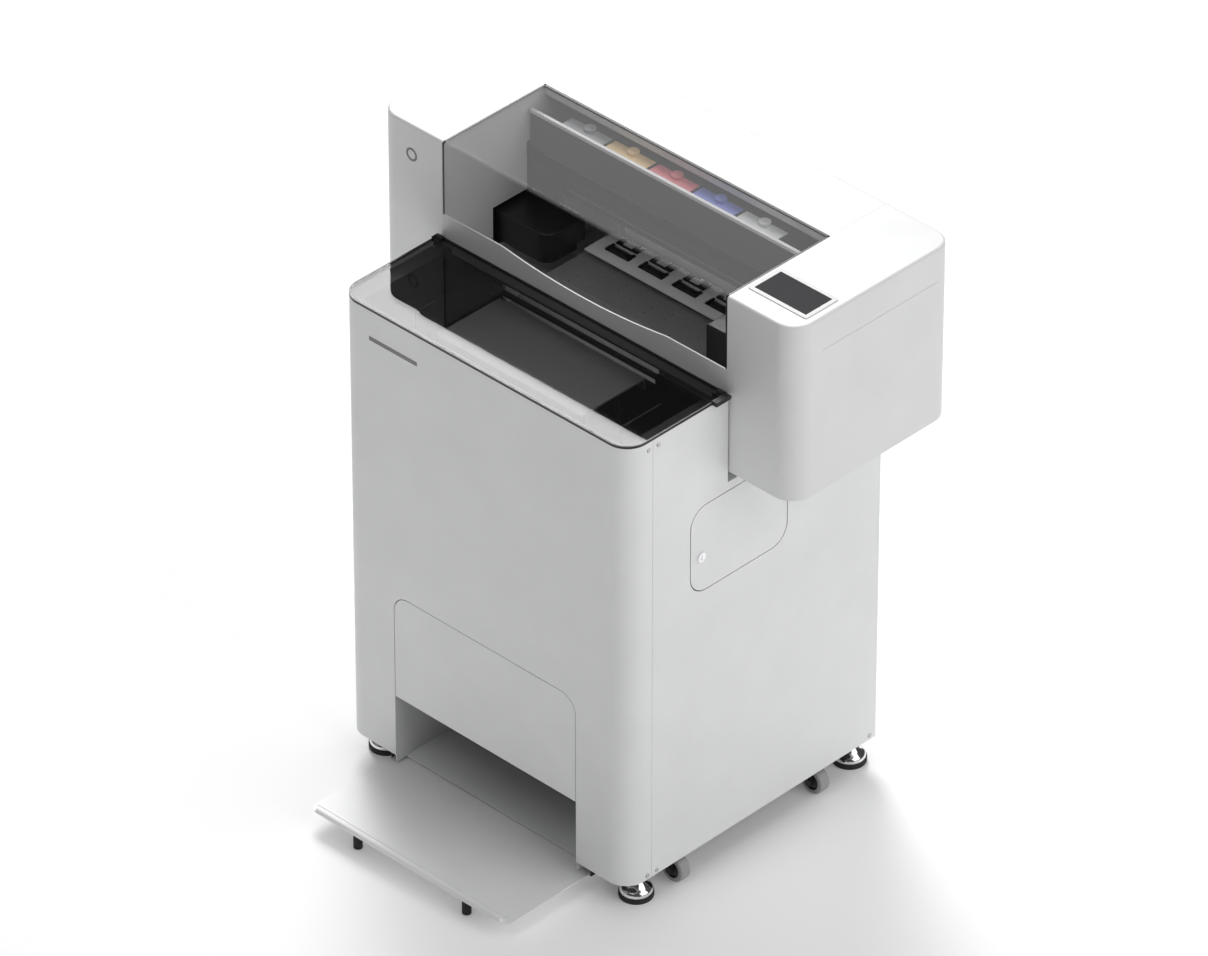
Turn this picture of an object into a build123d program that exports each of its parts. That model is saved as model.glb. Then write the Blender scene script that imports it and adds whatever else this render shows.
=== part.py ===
from build123d import *
from math import cos, radians, sin
import os

# A roll-film printer with a smoked lid stands on the rear deck of a floor-standing powder and
# curing cabinet. X is the width, Y the depth (front at -Y) and Z the height above the floor.
# The origin is on the floor below the middle of the whole outline. "Depth" values are
# distances behind the flat front of the cabinet; the tray reaches in front of it.

# ---- Cabinet ----------------------------------------------------------------------------
cabinet_width = 654.0
cabinet_depth = 597.0
base_z = 55.0                   # underside of the cabinet
cabinet_top_z = 937.0           # top face of the glass cover
deck_z = 761.0                  # top of the rear deck that carries the printer
front_block_depth = 232.0       # depth of the tall front part
sheet = 2.0                     # thickness of the cabinet's sheet metal
pan_sheet = 3.0                 # thickness of the base pan
corner_radius = 40.0            # vertical front corners
shell_return = 57.5             # how far the front shell wraps round the sides
seam_gap = 0.6
running_gap = 0.3               # clearance between faces that pass each other
bore_gap = 0.08                 # radial clearance of a shaft in its bore
frame_tube = 20.0

# ---- Glass cover over the shaker well -----------------------------------------------------
glass_thickness = 5.0
cover_back_gap = 2.0            # between the glass and the step behind it
cover_pivot_inset = 8.0         # hinge line in front of the step
hinge_block_width = 13.0
hinge_block_depth = 15.0
lug_width = 11.0
lug_length = 39.0
lug_height = 8.0
hinge_pin_radius = 2.5

# ---- Outlet door, outlet opening and chute ------------------------------------------------
outlet_half_width = 210.0
outlet_top_z = 179.0
outlet_door_top_z = 389.0
outlet_door_radius = 33.0
outlet_door_gap = 1.5
outlet_pivot_drop = 42.0        # hinge line below the top of the door opening
outlet_pivot_depth = 5.0
chute_floor_z = 40.0
chute_floor_front = 25.0
chute_depth = 205.0

# ---- Tray ---------------------------------------------------------------------------------
tray_reach = 185.0              # in front of the cabinet
tray_tail = 180.0               # behind the cabinet's front
tray_half_width = 230.0
tray_top_z = 35.0
tray_sheet = 2.0
tray_bead_radius = 5.0
tray_corner = 18.0
tray_travel = 150.0
tray_foot_x = 127.0
tray_foot_radius = 8.0

# ---- Service door on the right side ------------------------------------------------------
door_front = 145.0
door_length = 230.0
door_bottom_z = 574.0
door_height = 171.0
door_radius = 38.0
door_gap = 2.0
door_pivot_inset = 45.0         # hinge line in front of the rear edge of the door opening
lock_inset = 26.0               # lock centre behind the front edge of the opening
lock_rise = 70.0                # lock centre above the lower edge of the opening
lock_radius = 9.0
lock_barrel_radius = 7.0

# ---- Feet and casters ----------------------------------------------------------------------
foot_inset_x = 35.0
foot_front = 58.0
foot_rear_inset = 25.0
foot_pad_radius = 30.0
foot_pad_height = 10.0
foot_dome_height = 25.0
stud_radius = 6.0
nut_height = 8.0
caster_front = 133.0
caster_rear = 468.0
caster_inset_x = 33.0           # swivel line inside the cabinet's side
caster_trail = 16.0             # wheel axle offset from the swivel line
wheel_radius = 25.0
wheel_width = 22.0
wheel_floor_gap = 1.5           # the feet are screwed down, so the wheels hang clear
caster_axle_radius = 4.0
pocket_half = 30.0              # half width of the recess in the base pan
pocket_height = 16.0
caster_plate_thickness = 3.0

# ---- Shaker well ----------------------------------------------------------------------------
tub_side_gap = 7.0              # between the tub and the side sheet
tub_front_gap = 6.0
tub_floor_z = 780.0
tub_rim_drop = 8.0              # rim below the underside of the glass
bed_half_width = 165.0
bed_front = 60.0
bed_back = 208.0
bed_top_z = 899.0
bed_sheet = 3.0
bed_motor_radius = 24.0
guide_radius = 5.0
guide_half_length = 186.0
film_slot_half = 178.0

# ---- Oven -----------------------------------------------------------------------------------
oven_half_width = 214.0
oven_front = 207.0
oven_back = 560.0
oven_top_z = 420.0
belt_half_width = 200.0
belt_roller_radius = 20.0
belt_thickness = 2.0
belt_axis_z = 120.0
belt_front_axis = 245.0
belt_rear_axis = 520.0
roller_shaft_radius = 6.0
heater_radius = 6.0
heater_count = 4

# ---- Rear services --------------------------------------------------------------------------
spigot_radius = 50.0
spigot_wall = 2.0
spigot_length = 30.0
spigot_neck = 2.0               # thinner root between the rear panel and the spigot's wall
fan_box = 124.0
fan_box_depth = 50.0
fan_z = 640.0
fan_x = -150.0
inlet_x = 240.0
inlet_z = 130.0

# ---- Printer --------------------------------------------------------------------------------
printer_width = 940.0
printer_depth = 375.0
printer_height = 338.0
printer_gap = 2.0               # between the step of the cabinet and the printer
printer_foot_height = 21.0
printer_foot_radius = 17.0
tower_width = 149.0
shell = 2.5                     # wall of the printer's covers
printer_corner = 40.0
top_edge_radius = 5.0
lid_length = 240.0
lid_front_height = 142.0
lid_sheet = 3.0
lid_gap = 0.8
lid_crease = 7.0
scoop_width = 371.0
scoop_depth = 14.0
screen_length = 113.0
screen_width = 62.0
screen_border = 8.0
screen_inset_x = 22.7           # dark screen inside the tower's outer face
screen_front = 47.8             # dark screen behind the printer's front
bezel_height = 1.5
screen_glass_thickness = 1.0
printer_foot_x = 280.0

# ---- Printing parts, from the printer's front and floor -------------------------------------
platen_rise = 78.0
platen_front = 56.0
platen_length = 155.0
platen_left = -200.0
platen_right = 197.0
platen_sheet = 3.0
hole_pitch_x = 38.0
hole_pitch_y = 19.5
hole_radius = 1.4
feed_radius = 12.0
feed_half_length = 190.0
press_middle = 6.0              # middle of the feed and pinch rollers
feed_depth = 232.0
pinch_radius = 7.0
pinch_shaft_radius = 3.0
pinch_count = 5
pinch_pitch = 76.0
pinch_length = 40.0
pinch_strip_sheet = 2.5
pinch_window = 22.0
strip_lead = 33.0                # white strip in front of the roller line
strip_tail = 34.0
film_gap = 0.5
beam_front = 221.0
beam_depth = 50.0
beam_rise = 158.0
beam_height = 70.0
beam_half_length = 440.0
beam_sheet = 3.0
rail_height = 15.0
rail_depth = 4.0
rail_rise = 26.0                # above the beam's lower edge
carriage_left = -389.0
carriage_width = 183.0
carriage_front = 127.0
carriage_rise = 85.0
carriage_height = 56.0
carriage_plate_height = 118.0    # back plate that hangs from the rail
carriage_plate_sheet = 10.0
carriage_corner = 24.0
pulley_radius = 10.0
pulley_width = 8.0
carriage_belt_thickness = 1.5
belt_over_carriage = 6.0
pulley_x = 415.0
roll_radius = 45.0
roll_depth = 311.0
roll_rise = 118.0
spindle_radius = 10.0
tank_count = 5
tank_pitch = 98.5
tank_width = 96.0
tank_front = 206.0
tank_depth = 80.0
tank_rise = 238.0
tank_height = 75.0
tank_tray_sheet = 2.0
station_width = 113.0
station_length = 147.0
station_clearance = 4.0          # between the station's raised part and the passing carriage
station_rise = 198.0
station_front = 69.0

# ---- Derived places -------------------------------------------------------------------------
half_width = cabinet_width / 2
back_reach = max(cabinet_depth + spigot_length, front_block_depth + printer_gap + printer_depth)
front_y = -(back_reach - tray_reach) / 2
glass_bottom_z = cabinet_top_z - glass_thickness
cover_pivot = front_block_depth - cover_pivot_inset
inner_half = half_width - sheet
pan_top_z = base_z + pan_sheet
deck_underside = deck_z - sheet
step_face = front_block_depth - sheet
printer_half = printer_width / 2
printer_front = front_block_depth + printer_gap
printer_back = printer_front + printer_depth
printer_floor_z = deck_z + printer_foot_height
printer_top_z = printer_floor_z + printer_height
bay_half = printer_half - tower_width
lid_back = printer_front + lid_length
lid_front_z = printer_top_z - lid_front_height
platen_z = printer_floor_z + platen_rise
beam_z = printer_floor_z + beam_rise
beam_face = printer_front + beam_front
beam_back = beam_face + beam_depth
carriage_z = printer_floor_z + carriage_rise
carriage_top_z = carriage_z + carriage_height
plate_top_z = carriage_z + carriage_plate_height
carriage_near = printer_front + carriage_front

LOW = Align.MIN
MID = Align.CENTER


def block(x_span, depth_span, z_span, mode=Mode.ADD):
    """Add or cut a box between two X values, two depths and two heights."""
    with Locations((x_span[0], front_y + depth_span[0], z_span[0])):
        Box(
            x_span[1] - x_span[0],
            depth_span[1] - depth_span[0],
            z_span[1] - z_span[0],
            align=(LOW, LOW, LOW),
            mode=mode,
        )


def rod_x(x_span, depth, z, radius, mode=Mode.ADD):
    """Add or cut a round bar along X."""
    with Locations(Location((x_span[0], front_y + depth, z), (0, 90, 0))):
        Cylinder(radius, x_span[1] - x_span[0], align=(MID, MID, LOW), mode=mode)


def rod_y(x, depth_span, z, radius, mode=Mode.ADD):
    """Add or cut a round bar along Y."""
    with Locations(Location((x, front_y + depth_span[0], z), (-90, 0, 0))):
        Cylinder(radius, depth_span[1] - depth_span[0], align=(MID, MID, LOW), mode=mode)


def rod_z(x, depth, z_span, radius, mode=Mode.ADD):
    """Add or cut a round bar along Z."""
    with Locations((x, front_y + depth, z_span[0])):
        Cylinder(radius, z_span[1] - z_span[0], align=(MID, MID, LOW), mode=mode)


def rounded_slab(x_span, depth_span, z_span, front_radius=0.0, rear_radius=0.0, mode=Mode.ADD):
    """Add or cut an upright slab whose front and rear vertical corners are rounded."""
    with BuildSketch(Plane.XY.offset(z_span[0])) as outline:
        with Locations(((x_span[0] + x_span[1]) / 2, front_y + (depth_span[0] + depth_span[1]) / 2)):
            Rectangle(x_span[1] - x_span[0], depth_span[1] - depth_span[0])
        if rear_radius > 0:
            fillet(outline.vertices().group_by(Axis.Y)[-1], rear_radius)
        if front_radius > 0:
            fillet(outline.vertices().group_by(Axis.Y)[0], front_radius)
    extrude(outline.sketch, amount=z_span[1] - z_span[0], mode=mode)


def arched_panel(half, depth_span, z_span, radius, mode=Mode.ADD):
    """Add or cut an upright panel across X with two rounded upper corners."""
    with BuildSketch(Plane.XZ.offset(-(front_y + depth_span[0]))) as outline:
        with Locations((0, (z_span[0] + z_span[1]) / 2)):
            Rectangle(2 * half, z_span[1] - z_span[0])
        fillet(outline.vertices().group_by(Axis.Y)[-1], radius)
    extrude(outline.sketch, amount=-(depth_span[1] - depth_span[0]), mode=mode)


def save(piece, name):
    """Label a finished piece and write it."""
    piece.part.label = name
    export_step(piece.part, f"parts/{name}.step")


os.makedirs("parts", exist_ok=True)

# ---- Cabinet shell --------------------------------------------------------------------------
pin_hole = hinge_pin_radius + bore_gap
outlet_pivot_z = outlet_door_top_z - outlet_pivot_drop
outlet_pin_half = outlet_half_width + 8
outlet_ear = outlet_half_width + 1

with BuildPart() as front_shell:
    rounded_slab((-half_width, half_width), (0, shell_return), (base_z, glass_bottom_z), corner_radius)
    rounded_slab(
        (-inner_half, inner_half),
        (sheet, shell_return + 1),
        (base_z - 1, glass_bottom_z + 1),
        corner_radius - sheet,
        mode=Mode.SUBTRACT,
    )
    arched_panel(
        outlet_half_width,
        (-1, sheet + 1),
        (base_z - 1, outlet_door_top_z),
        outlet_door_radius,
        Mode.SUBTRACT,
    )
    for side in (-1, 1):
        ends = sorted((side * outlet_ear, side * (outlet_pin_half + 1)))
        block(ends, (sheet, sheet + 8), (outlet_pivot_z - 7, outlet_pivot_z + 7))
    rod_x(
        (-outlet_pin_half - 2, outlet_pin_half + 2),
        outlet_pivot_depth,
        outlet_pivot_z,
        pin_hole,
        Mode.SUBTRACT,
    )
save(front_shell, "front_shell")

with BuildPart() as outlet_door:
    arched_panel(
        outlet_half_width - outlet_door_gap,
        (0, sheet),
        (outlet_top_z, outlet_door_top_z - outlet_door_gap),
        outlet_door_radius - outlet_door_gap,
    )
    rod_x((-outlet_pin_half, outlet_pin_half), outlet_pivot_depth, outlet_pivot_z, hinge_pin_radius)
    block(
        (-outlet_half_width + 6, outlet_half_width - 6),
        (sheet, outlet_pivot_depth),
        (outlet_pivot_z - 4, outlet_pivot_z),
    )
    block(
        (-outlet_half_width + 12, outlet_half_width - 12),
        (sheet, sheet + 10),
        (outlet_top_z, outlet_top_z + 2),
    )
save(outlet_door, "outlet_door")


door_back = door_front + door_length
door_top_z = door_bottom_z + door_height
door_pivot_depth = door_back - door_pivot_inset
door_pivot_x = half_width - 5
lock_depth = door_front + lock_inset
lock_z = door_bottom_z + lock_rise
side_front = shell_return + seam_gap


def side_outline(outer_x):
    """Add the stepped side sheet whose outer face stands at outer_x."""
    x_span = sorted((outer_x, outer_x - sheet if outer_x > 0 else outer_x + sheet))
    block(x_span, (side_front, cabinet_depth), (base_z, deck_z))
    block(x_span, (side_front, front_block_depth), (deck_z, glass_bottom_z))


def door_outline(gap, x_span, mode=Mode.ADD):
    """Add or cut the rounded service door, smaller than its opening by the gap."""
    with BuildSketch(Plane.YZ.offset(x_span[0])) as outline:
        with Locations((front_y + (door_front + door_back) / 2, (door_bottom_z + door_top_z) / 2)):
            RectangleRounded(door_length - 2 * gap, door_height - 2 * gap, door_radius - gap)
    extrude(outline.sketch, amount=x_span[1] - x_span[0], mode=mode)


with BuildPart() as left_side_panel:
    side_outline(-half_width)
save(left_side_panel, "left_side_panel")

with BuildPart() as right_side_panel:
    side_outline(half_width)
    door_outline(0, (inner_half - 1, half_width + 1), Mode.SUBTRACT)
    for low in (door_bottom_z - 11, door_top_z + 3):
        block(
            (door_pivot_x - 7, inner_half), (door_pivot_depth - 7, door_pivot_depth + 10), (low, low + 8)
        )
    rod_z(
        door_pivot_x,
        door_pivot_depth,
        (door_bottom_z - 12, door_top_z + 12),
        pin_hole,
        Mode.SUBTRACT,
    )
save(right_side_panel, "right_side_panel")

with BuildPart() as service_door:
    door_outline(door_gap, (inner_half, half_width))
    rod_z(door_pivot_x, door_pivot_depth, (door_bottom_z - 13, door_top_z + 12.5), hinge_pin_radius)
    block(
        (door_pivot_x, inner_half),
        (door_pivot_depth - 1, door_pivot_depth + 1),
        (door_bottom_z + 40, door_top_z - 40),
    )
    rod_x(
        (inner_half - 1, half_width + 1),
        lock_depth,
        lock_z,
        lock_barrel_radius + bore_gap,
        Mode.SUBTRACT,
    )
save(service_door, "service_door")

lock_cam_x = inner_half - 10
with BuildPart() as cam_lock:
    rod_x((half_width, half_width + sheet), lock_depth, lock_z, lock_radius)
    rod_x((lock_cam_x, half_width), lock_depth, lock_z, lock_barrel_radius)
    rod_x((inner_half - 4, inner_half), lock_depth, lock_z, lock_radius)
    block((lock_cam_x, lock_cam_x + 2.5), (lock_depth - 6, lock_depth + 6), (lock_z - 34, lock_z))
    block(
        (half_width + 1, half_width + 3),
        (lock_depth - 1, lock_depth + 1),
        (lock_z - 5, lock_z + 5),
        Mode.SUBTRACT,
    )
save(cam_lock, "cam_lock")

spigot_hole = spigot_radius + 0.5
with BuildPart() as rear_panel:
    block((-inner_half, inner_half), (cabinet_depth - sheet, cabinet_depth), (base_z, deck_underside))
    rod_y(fan_x, (cabinet_depth - 5, cabinet_depth + 1), fan_z, spigot_hole, Mode.SUBTRACT)
    with BuildSketch(Plane.XZ.offset(-(front_y + cabinet_depth - 5))):
        with Locations((inlet_x, inlet_z)):
            Rectangle(76, 32)
        with Locations((0, base_z + 270)):
            with GridLocations(20, 60, 12, 4):
                SlotOverall(48, 6, rotation=90)
    extrude(amount=-10, mode=Mode.SUBTRACT)
save(rear_panel, "rear_panel")

film_slot_low = platen_z - 8
film_slot_high = bed_top_z + 14
with BuildPart() as rear_deck:
    block((-inner_half, inner_half), (front_block_depth, cabinet_depth), (deck_underside, deck_z))
    block((-inner_half, inner_half), (step_face, front_block_depth), (deck_underside, glass_bottom_z))
    block(
        (-film_slot_half, film_slot_half),
        (step_face - 1, front_block_depth + 1),
        (film_slot_low, film_slot_high),
        Mode.SUBTRACT,
    )
save(rear_deck, "rear_deck")


foot_x = half_width - foot_inset_x
foot_rear = cabinet_depth - foot_rear_inset
swivel_x = half_width - caster_inset_x
foot_places = [(side * foot_x, depth) for side in (-1, 1) for depth in (foot_front, foot_rear)]
caster_places = [(side * swivel_x, depth) for side in (-1, 1) for depth in (caster_front, caster_rear)]
pocket_top = base_z + pocket_height

rail_web = tray_half_width + 1.5
tray_low_z = tray_top_z - tray_sheet
plate_low_z = pocket_top - caster_plate_thickness
crown_top_z = plate_low_z - 5
with BuildPart() as base_pan:
    rounded_slab(
        (-inner_half, inner_half), (sheet, cabinet_depth - sheet), (base_z, pan_top_z), corner_radius - sheet
    )
    for x, depth in caster_places:
        block(
            (x - pocket_half, x + pocket_half),
            (depth - pocket_half, depth + pocket_half),
            (base_z, pocket_top + 2),
        )
        inner = pocket_half - sheet
        block(
            (x - inner, x + inner),
            (depth - inner, depth + inner),
            (base_z - 1, pocket_top),
            Mode.SUBTRACT,
        )
    for x, depth in foot_places:
        rod_z(x, depth, (base_z - 1, pan_top_z + 1), stud_radius + running_gap, Mode.SUBTRACT)
    block(
        (-outlet_half_width - sheet, outlet_half_width + sheet),
        (0, chute_depth),
        (base_z - 1, pan_top_z + 1),
        Mode.SUBTRACT,
    )
    for side in (-1, 1):
        web = sorted((side * rail_web, side * (rail_web + sheet)))
        lip = sorted((side * (rail_web - 10), side * (rail_web + sheet)))
        block(web, (12, tray_tail + tray_travel), (tray_low_z - running_gap - sheet, base_z))
        block(
            lip,
            (12, tray_tail + tray_travel),
            (tray_low_z - running_gap - sheet, tray_low_z - running_gap),
        )
    for x, depth in caster_places:
        half = pocket_half - sheet - 2
        block((x - half, x + half), (depth - half, depth + half), (plate_low_z, pocket_top))
        rod_z(x, depth, (crown_top_z + running_gap, plate_low_z), 15)
save(base_pan, "base_pan")

post_outer = inner_half - sheet
post_inner = post_outer - frame_tube
post_front = 78.0
post_rear = cabinet_depth - foot_rear_inset - 2 * frame_tube - 12
with BuildPart() as cabinet_frame:
    for side in (-1, 1):
        across = sorted((side * post_inner, side * post_outer))
        for depth in (post_front, post_rear):
            block(across, (depth, depth + frame_tube), (pan_top_z, deck_underside))
        block(across, (post_front, post_rear + frame_tube), (door_bottom_z - 70, door_bottom_z - 50))
    for depth in (post_front, post_rear):
        block(
            (-post_inner, post_inner),
            (depth, depth + frame_tube),
            (deck_underside - frame_tube, deck_underside),
        )
save(cabinet_frame, "cabinet_frame")

# ---- Glass cover and its hinge --------------------------------------------------------------
cover_back = front_block_depth - cover_back_gap
block_out = inner_half
block_in = block_out - hinge_block_width
block_front = cover_back - hinge_block_depth
with BuildPart() as glass_cover:
    rounded_slab(
        (-half_width, half_width), (0, cover_back), (glass_bottom_z, cabinet_top_z), corner_radius
    )
    for side in (-1, 1):
        notch = sorted((side * (block_in - 1), side * (half_width + 1)))
        block(
            notch,
            (block_front - 2, cover_back + 1),
            (glass_bottom_z - 1, cabinet_top_z + 1),
            Mode.SUBTRACT,
        )
    fillet(glass_cover.faces().sort_by(Axis.Z)[-1].edges(), 1.2)
save(glass_cover, "glass_cover")

lug_base = cabinet_top_z - lug_height / 2
with BuildPart() as cover_lugs:
    for side, near, far, lug_front in (
        (1, half_width, half_width + lug_width, front_block_depth - lug_length),
        (-1, inner_half + running_gap, half_width, block_front - 2),
    ):
        across = sorted((side * near, side * far))
        block(across, (lug_front, cover_pivot), (lug_base, lug_base + lug_height))
        rod_x(across, cover_pivot, cabinet_top_z, lug_height / 2)
        pin = sorted((side * (block_in + 2), side * (near + 1)))
        rod_x(pin, cover_pivot, cabinet_top_z, hinge_pin_radius)
save(cover_lugs, "cover_lugs")


# ---- Outlet chute and tray ------------------------------------------------------------------
chute_outer = outlet_half_width + sheet
with BuildPart() as outlet_chute:
    for side in (-1, 1):
        across = sorted((side * outlet_half_width, side * chute_outer))
        block(across, (sheet, chute_depth), (chute_floor_z, outlet_top_z))
    block(
        (-outlet_half_width, outlet_half_width),
        (chute_floor_front, chute_depth),
        (chute_floor_z, chute_floor_z + sheet),
    )
    block(
        (-outlet_half_width, outlet_half_width),
        (chute_depth - sheet, chute_depth),
        (chute_floor_z, belt_axis_z - belt_roller_radius - 4),
    )
save(outlet_chute, "outlet_chute")

with BuildPart() as tray:
    rounded_slab(
        (-tray_half_width, tray_half_width), (-tray_reach, tray_tail), (tray_low_z, tray_top_z), tray_corner
    )
    chamfer(tray.edges().filter_by(Axis.Z).group_by(Axis.Y)[-1], 14)
    bead_depth = tray_bead_radius - tray_reach
    rod_x(
        (-tray_half_width + tray_corner, tray_half_width - tray_corner),
        bead_depth,
        tray_top_z,
        tray_bead_radius,
    )
    for side in (-1, 1):
        with Locations((side * (tray_half_width - tray_corner), front_y + bead_depth, tray_top_z)):
            Sphere(tray_bead_radius)
    groove_back = bead_depth + 12
    block(
        (-tray_half_width + 6, tray_half_width - 6),
        (groove_back - 3, groove_back),
        (tray_top_z - 1, tray_top_z + 1),
        Mode.SUBTRACT,
    )
save(tray, "tray")

with BuildPart() as tray_feet:
    for side in (-1, 1):
        rod_z(side * tray_foot_x, bead_depth + 8, (0, tray_low_z), tray_foot_radius)
    rod_x((-tray_half_width, tray_half_width), bead_depth, tray_top_z, tray_bead_radius, Mode.SUBTRACT)
    fillet(tray_feet.edges().group_by(Axis.Z)[0], 1.5)
save(tray_feet, "tray_feet")


# ---- Feet and casters -----------------------------------------------------------------------
dome_top_z = foot_pad_height + foot_dome_height
with BuildPart() as foot_pads:
    for x, depth in foot_places:
        rod_z(x, depth, (0, foot_pad_height), foot_pad_radius)
    fillet(foot_pads.edges().group_by(Axis.Z)[0], 2)
save(foot_pads, "foot_pads")

with BuildPart() as levelling_feet:
    with BuildSketch(Plane.XZ) as foot_profile:
        with BuildLine():
            Polyline(
                (0, foot_pad_height),
                (foot_pad_radius - 1.5, foot_pad_height),
                (foot_pad_radius - 1.5, 14),
            )
            Spline(
                (foot_pad_radius - 1.5, 14),
                (foot_pad_radius * 0.62, 26),
                (10, dome_top_z),
                tangents=((-0.15, 1), (-1, 0.25)),
            )
            Polyline((10, dome_top_z), (0, dome_top_z), (0, foot_pad_height))
        make_face()
    with Locations(*[(x, front_y + depth, 0) for x, depth in foot_places]):
        add(revolve(foot_profile.sketch, axis=Axis.Z, mode=Mode.PRIVATE))
    for x, depth in foot_places:
        rod_z(x, depth, (dome_top_z - 1, pan_top_z + nut_height + 6), stud_radius)
        for nut_z in (base_z - nut_height, pan_top_z):
            with BuildSketch(Plane.XY.offset(nut_z)) as nut:
                with Locations((x, front_y + depth)):
                    RegularPolygon(9.5, 6)
            extrude(nut.sketch, amount=nut_height)
save(levelling_feet, "levelling_feet")

axle_z = wheel_radius + wheel_floor_gap
arm_gap = wheel_width / 2 + 1
arm_sheet = 3.0
for side, side_name in ((-1, "left"), (1, "right")):
    for depth, end_name in ((caster_front, "front"), (caster_rear, "rear")):
        hub_x = side * swivel_x
        axle_x = hub_x + side * caster_trail
        with BuildPart() as caster_fork:
            rod_z(hub_x, depth, (crown_top_z - 4, crown_top_z), 20)
            for face in (-1, 1):
                start = depth + min(face * arm_gap, face * (arm_gap + arm_sheet))
                with BuildSketch(Plane.XZ.offset(-(front_y + start))) as arm:
                    with BuildLine():
                        Polyline(
                            (hub_x - side * 12, crown_top_z - 1),
                            (hub_x + side * 13, crown_top_z - 1),
                            (axle_x + side * 8, axle_z),
                            (axle_x - side * 8, axle_z - 3),
                            close=True,
                        )
                    make_face()
                    with Locations((axle_x, axle_z)):
                        Circle(8)
                extrude(arm.sketch, amount=-arm_sheet)
                cap = sorted(
                    (depth + face * (arm_gap + arm_sheet), depth + face * (arm_gap + arm_sheet + 3))
                )
                rod_y(axle_x, cap, axle_z, 7)
            rod_y(axle_x, (depth - arm_gap - 1, depth + arm_gap + 1), axle_z, caster_axle_radius)
        save(caster_fork, f"caster_fork_{end_name}_{side_name}")
        with BuildPart() as caster_wheel:
            rod_y(axle_x, (depth - wheel_width / 2, depth + wheel_width / 2), axle_z, wheel_radius)
            fillet(caster_wheel.edges().filter_by(GeomType.CIRCLE), 3.5)
            rod_y(
                axle_x,
                (depth - wheel_width, depth + wheel_width),
                axle_z,
                caster_axle_radius + bore_gap,
                Mode.SUBTRACT,
            )
        save(caster_wheel, f"caster_wheel_{end_name}_{side_name}")

# ---- Side screws ----------------------------------------------------------------------------
seam_depths = (shell_return - 10, side_front + 12)
screw_places = [(depth, z) for depth in seam_depths for z in (base_z + 8, glass_bottom_z - 15)]
screw_places += [(cabinet_depth - 14, base_z + 8), (cabinet_depth - 14, deck_z - 20)]
with BuildPart() as side_screws:
    for side in (-1, 1):
        for depth, z in screw_places:
            rod_x(sorted((side * half_width, side * (half_width + 1.6))), depth, z, 4)
    chamfer(side_screws.edges().group_by(Axis.X)[0] + side_screws.edges().group_by(Axis.X)[-1], 0.8)
save(side_screws, "side_screws")

# ---- Shaker well ----------------------------------------------------------------------------
bed_low_z = bed_top_z - bed_sheet
tub_half = inner_half - tub_side_gap
tub_back = step_face - sheet
rim_z = glass_bottom_z - tub_rim_drop
tub_front = sheet + tub_front_gap
with BuildPart() as shaker_tub:
    rounded_slab((-tub_half, tub_half), (tub_front, tub_back), (tub_floor_z, rim_z), 30)
    rounded_slab(
        (-tub_half + sheet, tub_half - sheet),
        (tub_front + sheet, tub_back - sheet),
        (tub_floor_z + sheet, rim_z + 1),
        28,
        mode=Mode.SUBTRACT,
    )
    rounded_slab(
        (-inner_half, inner_half),
        (sheet, block_front - 3),
        (rim_z - sheet, rim_z),
        corner_radius - sheet,
    )
    rounded_slab(
        (-tub_half + 22, tub_half - 22),
        (tub_front + 14, tub_back + 9),
        (rim_z - 9, rim_z + 1),
        12,
        mode=Mode.SUBTRACT,
    )
    block(
        (-film_slot_half, film_slot_half),
        (tub_back - sheet - 1, tub_back + 1),
        (bed_top_z - 18, film_slot_high),
        Mode.SUBTRACT,
    )
    for side in (-1, 1):
        side_plate = sorted((side * (guide_half_length + 46), side * (guide_half_length + 49)))
        block(side_plate, (bed_front + 22, bed_front + 115), (tub_floor_z + sheet, bed_top_z + 1))
        tab = sorted((side * (guide_half_length + 1), side * (guide_half_length + 5)))
        block(tab, (tub_back - 20, tub_back - sheet), (bed_top_z - 8, bed_top_z + 16))
        rod_x(tab, tub_back - 10, bed_top_z + 5, guide_radius / 2 + bore_gap, Mode.SUBTRACT)
    for x in (-bed_half_width + 25, bed_half_width - 25):
        for depth in (bed_front + 22, bed_back - 22):
            rod_z(x, depth, (tub_floor_z + sheet, bed_low_z - running_gap), 9)
    for side in (-1, 1):
        across = sorted((side * block_in, side * block_out))
        block(across, (block_front, cover_back), (glass_bottom_z - tub_rim_drop, cabinet_top_z))
        rod_x(across, cover_pivot, cabinet_top_z, 5.5)
        rod_x(
            sorted((side * (block_in - 1), side * (block_out + 1))),
            cover_pivot,
            cabinet_top_z,
            pin_hole,
            Mode.SUBTRACT,
        )
save(shaker_tub, "shaker_tub")

with BuildPart() as guide_roller:
    rod_x((-guide_half_length, guide_half_length), tub_back - 10, bed_top_z + 5, guide_radius)
    rod_x(
        (-guide_half_length - 6, guide_half_length + 6), tub_back - 10, bed_top_z + 5, guide_radius / 2
    )
save(guide_roller, "guide_roller")

with BuildPart() as film_bed:
    block((-bed_half_width, bed_half_width), (bed_front, bed_back), (bed_low_z, bed_top_z))
    block(
        (-bed_half_width, bed_half_width),
        (bed_front, bed_front + bed_sheet),
        (bed_low_z - 18, bed_low_z),
    )
    block(
        (-bed_half_width, bed_half_width), (bed_back - bed_sheet, bed_back), (bed_low_z - 18, bed_low_z)
    )
    fillet(film_bed.edges().filter_by(Axis.X).group_by(Axis.Z)[-1], 1.2)
    rod_x((-45, 45), (bed_front + bed_back) / 2, bed_low_z - bed_motor_radius - 4, bed_motor_radius)
    block(
        (-30, 30),
        ((bed_front + bed_back) / 2 - 20, (bed_front + bed_back) / 2 + 20),
        (bed_low_z - bed_motor_radius, bed_low_z),
    )
save(film_bed, "film_bed")


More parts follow.
